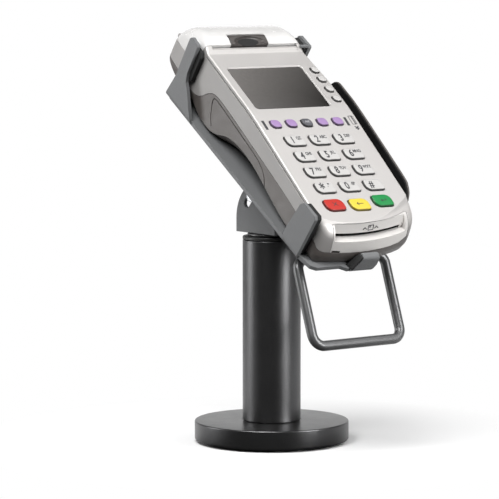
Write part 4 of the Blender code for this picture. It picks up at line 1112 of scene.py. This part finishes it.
def lettering(text, x, y, size, squeeze, shape, weight=0.0, sunk=SUNK, proud=PROUD):
    """Adds a word, centred on x and y, as flat printed letters on a key."""
    curve = bpy.data.curves.new("word", "FONT")
    curve.body = text
    curve.size = size
    curve.align_x, curve.align_y = "CENTER", "CENTER"
    curve.extrude = (sunk + proud) / 2
    curve.offset = weight
    curve.resolution_u = 6
    word = bpy.data.objects.new("word", curve)
    scene.collection.objects.link(word)
    bpy.context.view_layer.update()
    mesh = bpy.data.meshes.new_from_object(word.evaluated_get(bpy.context.evaluated_depsgraph_get()))
    mesh.transform(placed((x, y, KEY_TOP + (proud - sunk) / 2)) @ Matrix.Diagonal((squeeze, 1, 1, 1)))
    shape.from_mesh(mesh)
    bpy.data.objects.remove(word)
    bpy.data.meshes.remove(mesh)
    bpy.data.curves.remove(curve)


def print_on(node, marks, coating=ink):
    piece(f"{node}_print", marks, coating, body=node, place=KEYPAD)


LETTERS = {"1": "QZ", "2": "ABC", "3": "DEF", "4": "GHI", "5": "JKL", "6": "MNO", "7": "PRS", "8": "TUV",
           "9": "WXY", "0": "-SP", "star": ",'\"", "hash": ""}
# A digit stands left of the key's middle, with its letters raised on the right
SYMBOLS = {"star": ("*", 12.0, -1.4), "hash": ("#", 8.0, -0.2)}
for name in NUMBERS:
    middle = centre_of(f"key_{name}", KEYPAD)
    marks = bmesh.new()
    text, size, up = SYMBOLS.get(name, (name, 8.0, -0.2))
    lettering(text, middle.x - 2.6, middle.y + up, size, 0.76, marks, 0.17)
    if LETTERS[name]:
        lettering(LETTERS[name], middle.x + 2.9, middle.y + 1.4, 3.5, 0.8, marks, 0.09)
    print_on(f"key_{name}", marks)

# Signs on the command keys: a cross, an arrow back and a return arrow
SIGNS = {
    "key_cancel": (0.55, [[(-1.7, -1.5), (1.7, 1.5)], [(-1.7, 1.5), (1.7, -1.5)]]),
    "key_clear": (0.5, [[(-2.6, 0), (2.6, 0)], [(-1.2, 1.3), (-2.7, 0), (-1.2, -1.3)]]),
    "key_enter": (0.5, [[(2.2, 1.3), (2.2, -0.5), (-1.8, -0.5)], [(-0.7, 0.5), (-1.9, -0.5), (-0.7, -1.5)]]),
}
for name, (width, lines) in SIGNS.items():
    marks = bmesh.new()
    draw(lines, width, KEY_TOP - SIGN_SUNK, KEY_TOP + SIGN_PROUD, marks, centre_of(name, KEYPAD), 0.005)
    print_on(name, marks)
middle = centre_of("function_key_3", KEYPAD)
marks = bmesh.new()
lettering("ABC", middle.x, middle.y, 2.4, 0.85, marks, sunk=0.08, proud=SIGN_PROUD)
print_on("function_key_3", marks, pale_ink)

# Marks on the face: bars beside the function keys, and a card sign over two arrows by the swipe rail
FACE = (-0.05, 0.05)
row = (0, centre_of("function_key_1", KEYPAD).y)
marks = bmesh.new()
for x, tall in ((-36.6, 8.0), (31.0, 7.4)):
    draw([[(x, -tall / 2), (x, tall / 2)]], 2.1, *FACE, marks, row)
stripe = [[(x, 4.4), (x, -2.6)] for x in (37.3, 36.9)]
draw(card_outline(34.6, -2.8, 38.2, 4.6) + stripe, 0.45, *FACE, marks, row)
draw([[(34.9, y), (36.4, y - 1.5), (37.9, y)] for y in (-4.6, -6.1)], 0.8, *FACE, marks, row)
piece("face_marks", marks, ink, place=KEYPAD)

# Card sign on the back wall of the recess: a card with two lines between two arrows
wall_slope = 90 - math.degrees(math.atan2(1.7, 5.5))
wall = TERMINAL @ Matrix.Translation((0, -128.62, 22.0)) @ Matrix.Rotation(math.radians(4.6), 4, "Z")
marks = bmesh.new()
lines = card_outline(-2.2, -1.6, 2.2, 1.6) + [[(-1.3, y), (-0.2, y)] for y in (0.9, 0.3)]
for x in (-5.0, 5.0):
    lines += [[(x - 1.6, -0.9), (x, 0.5)], [(x, 0.5), (x + 1.6, -0.9)]]
draw(lines, 0.46, -0.3, 0.12, marks)
piece("slot_sign", marks, ink, place=wall @ placed((0, 0, 0), wall_slope))

# ---------- studio

scene.view_settings.view_transform = "Standard"
# Compass angle that the camera looks from, clockwise from the front
AZIMUTH = math.radians(-37.62)
EYE, TARGET, LENS = (-1.29297, -1.65362, 0.33924), (-0.00385, 0.01903, 0.12598), 230.86


def link_aimed(name, data, eye, target):
    made = bpy.data.objects.new(name, data)
    made.location = eye
    made.rotation_mode = "QUATERNION"
    made.rotation_quaternion = (Vector(target) - Vector(eye)).to_track_quat("-Z", "Y")
    scene.collection.objects.link(made)
    return made


lens = bpy.data.cameras.new("camera")
lens.lens = LENS
lens.sensor_width = 36.0
lens.clip_start, lens.clip_end = 0.05, 60.0
scene.camera = link_aimed("camera", lens, EYE, TARGET)

# Soft boxes: degrees round from the camera's side, height, distance, width, depth and power
LIGHTS = {
    "left_strip": (-96, 0.3, 1.2, 0.42, 1.1, 7),
    "right_strip": (58, 0.3, 1.2, 0.42, 1.1, 13),
    "key_box": (-22, 1.25, 0.95, 0.9, 0.9, 27),
    "back_box": (96, 1.25, 1.0, 1.1, 1.1, 4.5),
    "top_box": (25, 1.5, 0.3, 1.0, 1.0, 2),
}
for name, (degrees, height, distance, width, tall, power) in LIGHTS.items():
    light = bpy.data.lights.new(name, "AREA")
    light.shape = "RECTANGLE"
    light.size, light.size_y = width, tall
    light.energy = power
    angle = AZIMUTH + math.radians(degrees)
    link_aimed(name, light, (distance * math.sin(angle), -distance * math.cos(angle), height), (0, 0, 0.14))

# The object mirrors a white backdrop behind and below it and a dim room in front. The camera sees only white.
BACKDROP = (-math.sin(AZIMUTH), math.cos(AZIMUTH), -0.9)
world = bpy.data.worlds.new("studio")
scene.world = world
world.use_nodes = True
sky = Graph(world.node_tree)
background = sky.nodes["Background"]
background.inputs["Color"].default_value = (1, 1, 1, 1)
behind = sky.dot(sky.add("ShaderNodeTexCoord").outputs["Generated"], BACKDROP)
seen = sky.add("ShaderNodeLightPath").outputs["Is Camera Ray"]
sky.feed(background.inputs["Strength"], sky.math("MAXIMUM", sky.fit(behind, 0.35, 0.75, 0.05, 1.0), seen))

floor_mesh = bpy.data.meshes.new("floor")
floor_shape = bmesh.new()
bmesh.ops.create_circle(floor_shape, cap_ends=True, segments=96, radius=3.0)
floor_shape.to_mesh(floor_mesh)
floor_shape.free()
floor = bpy.data.objects.new("floor", floor_mesh)
floor.location = (0, 0, -0.0003)
scene.collection.objects.link(floor)
pale = Finish("pale_floor")
outward = pale.add("ShaderNodeVectorMath", {0: pale.position}, operation="NORMALIZE").outputs["Vector"]
seen = pale.add("ShaderNodeLightPath").outputs["Is Camera Ray"]
mirrored = pale.fit(pale.dot(outward, BACKDROP), -0.65, 0.3, 0.05, 0.85)
pale.put("Base Color", pale.grey(pale.math("MAXIMUM", mirrored, pale.math("MULTIPLY", seen, 0.93))))
pale.put("Roughness", pale.fit(pale.noise(12.0, 3.0), 0.3, 0.7, 0.75, 0.9))
pale.put("Specular IOR Level", 0.1)
# Away from the foot the camera sees the floor as the same even white as the backdrop
flat = pale.add("ShaderNodeEmission", {"Color": (1, 1, 1, 1), "Strength": 1.0})
spread = pale.add("ShaderNodeVectorMath", {0: pale.position}, operation="LENGTH").outputs["Value"]
share = pale.math("MULTIPLY", pale.fit(spread, 0.06, 0.2, 0.0, 1.0), seen)
blend = pale.add("ShaderNodeMixShader", {0: share, 1: pale.shader.outputs[0], 2: flat.outputs[0]})
pale.feed(pale.nodes["Material Output"].inputs["Surface"], blend.outputs[0])
floor_mesh.materials.append(pale.material)
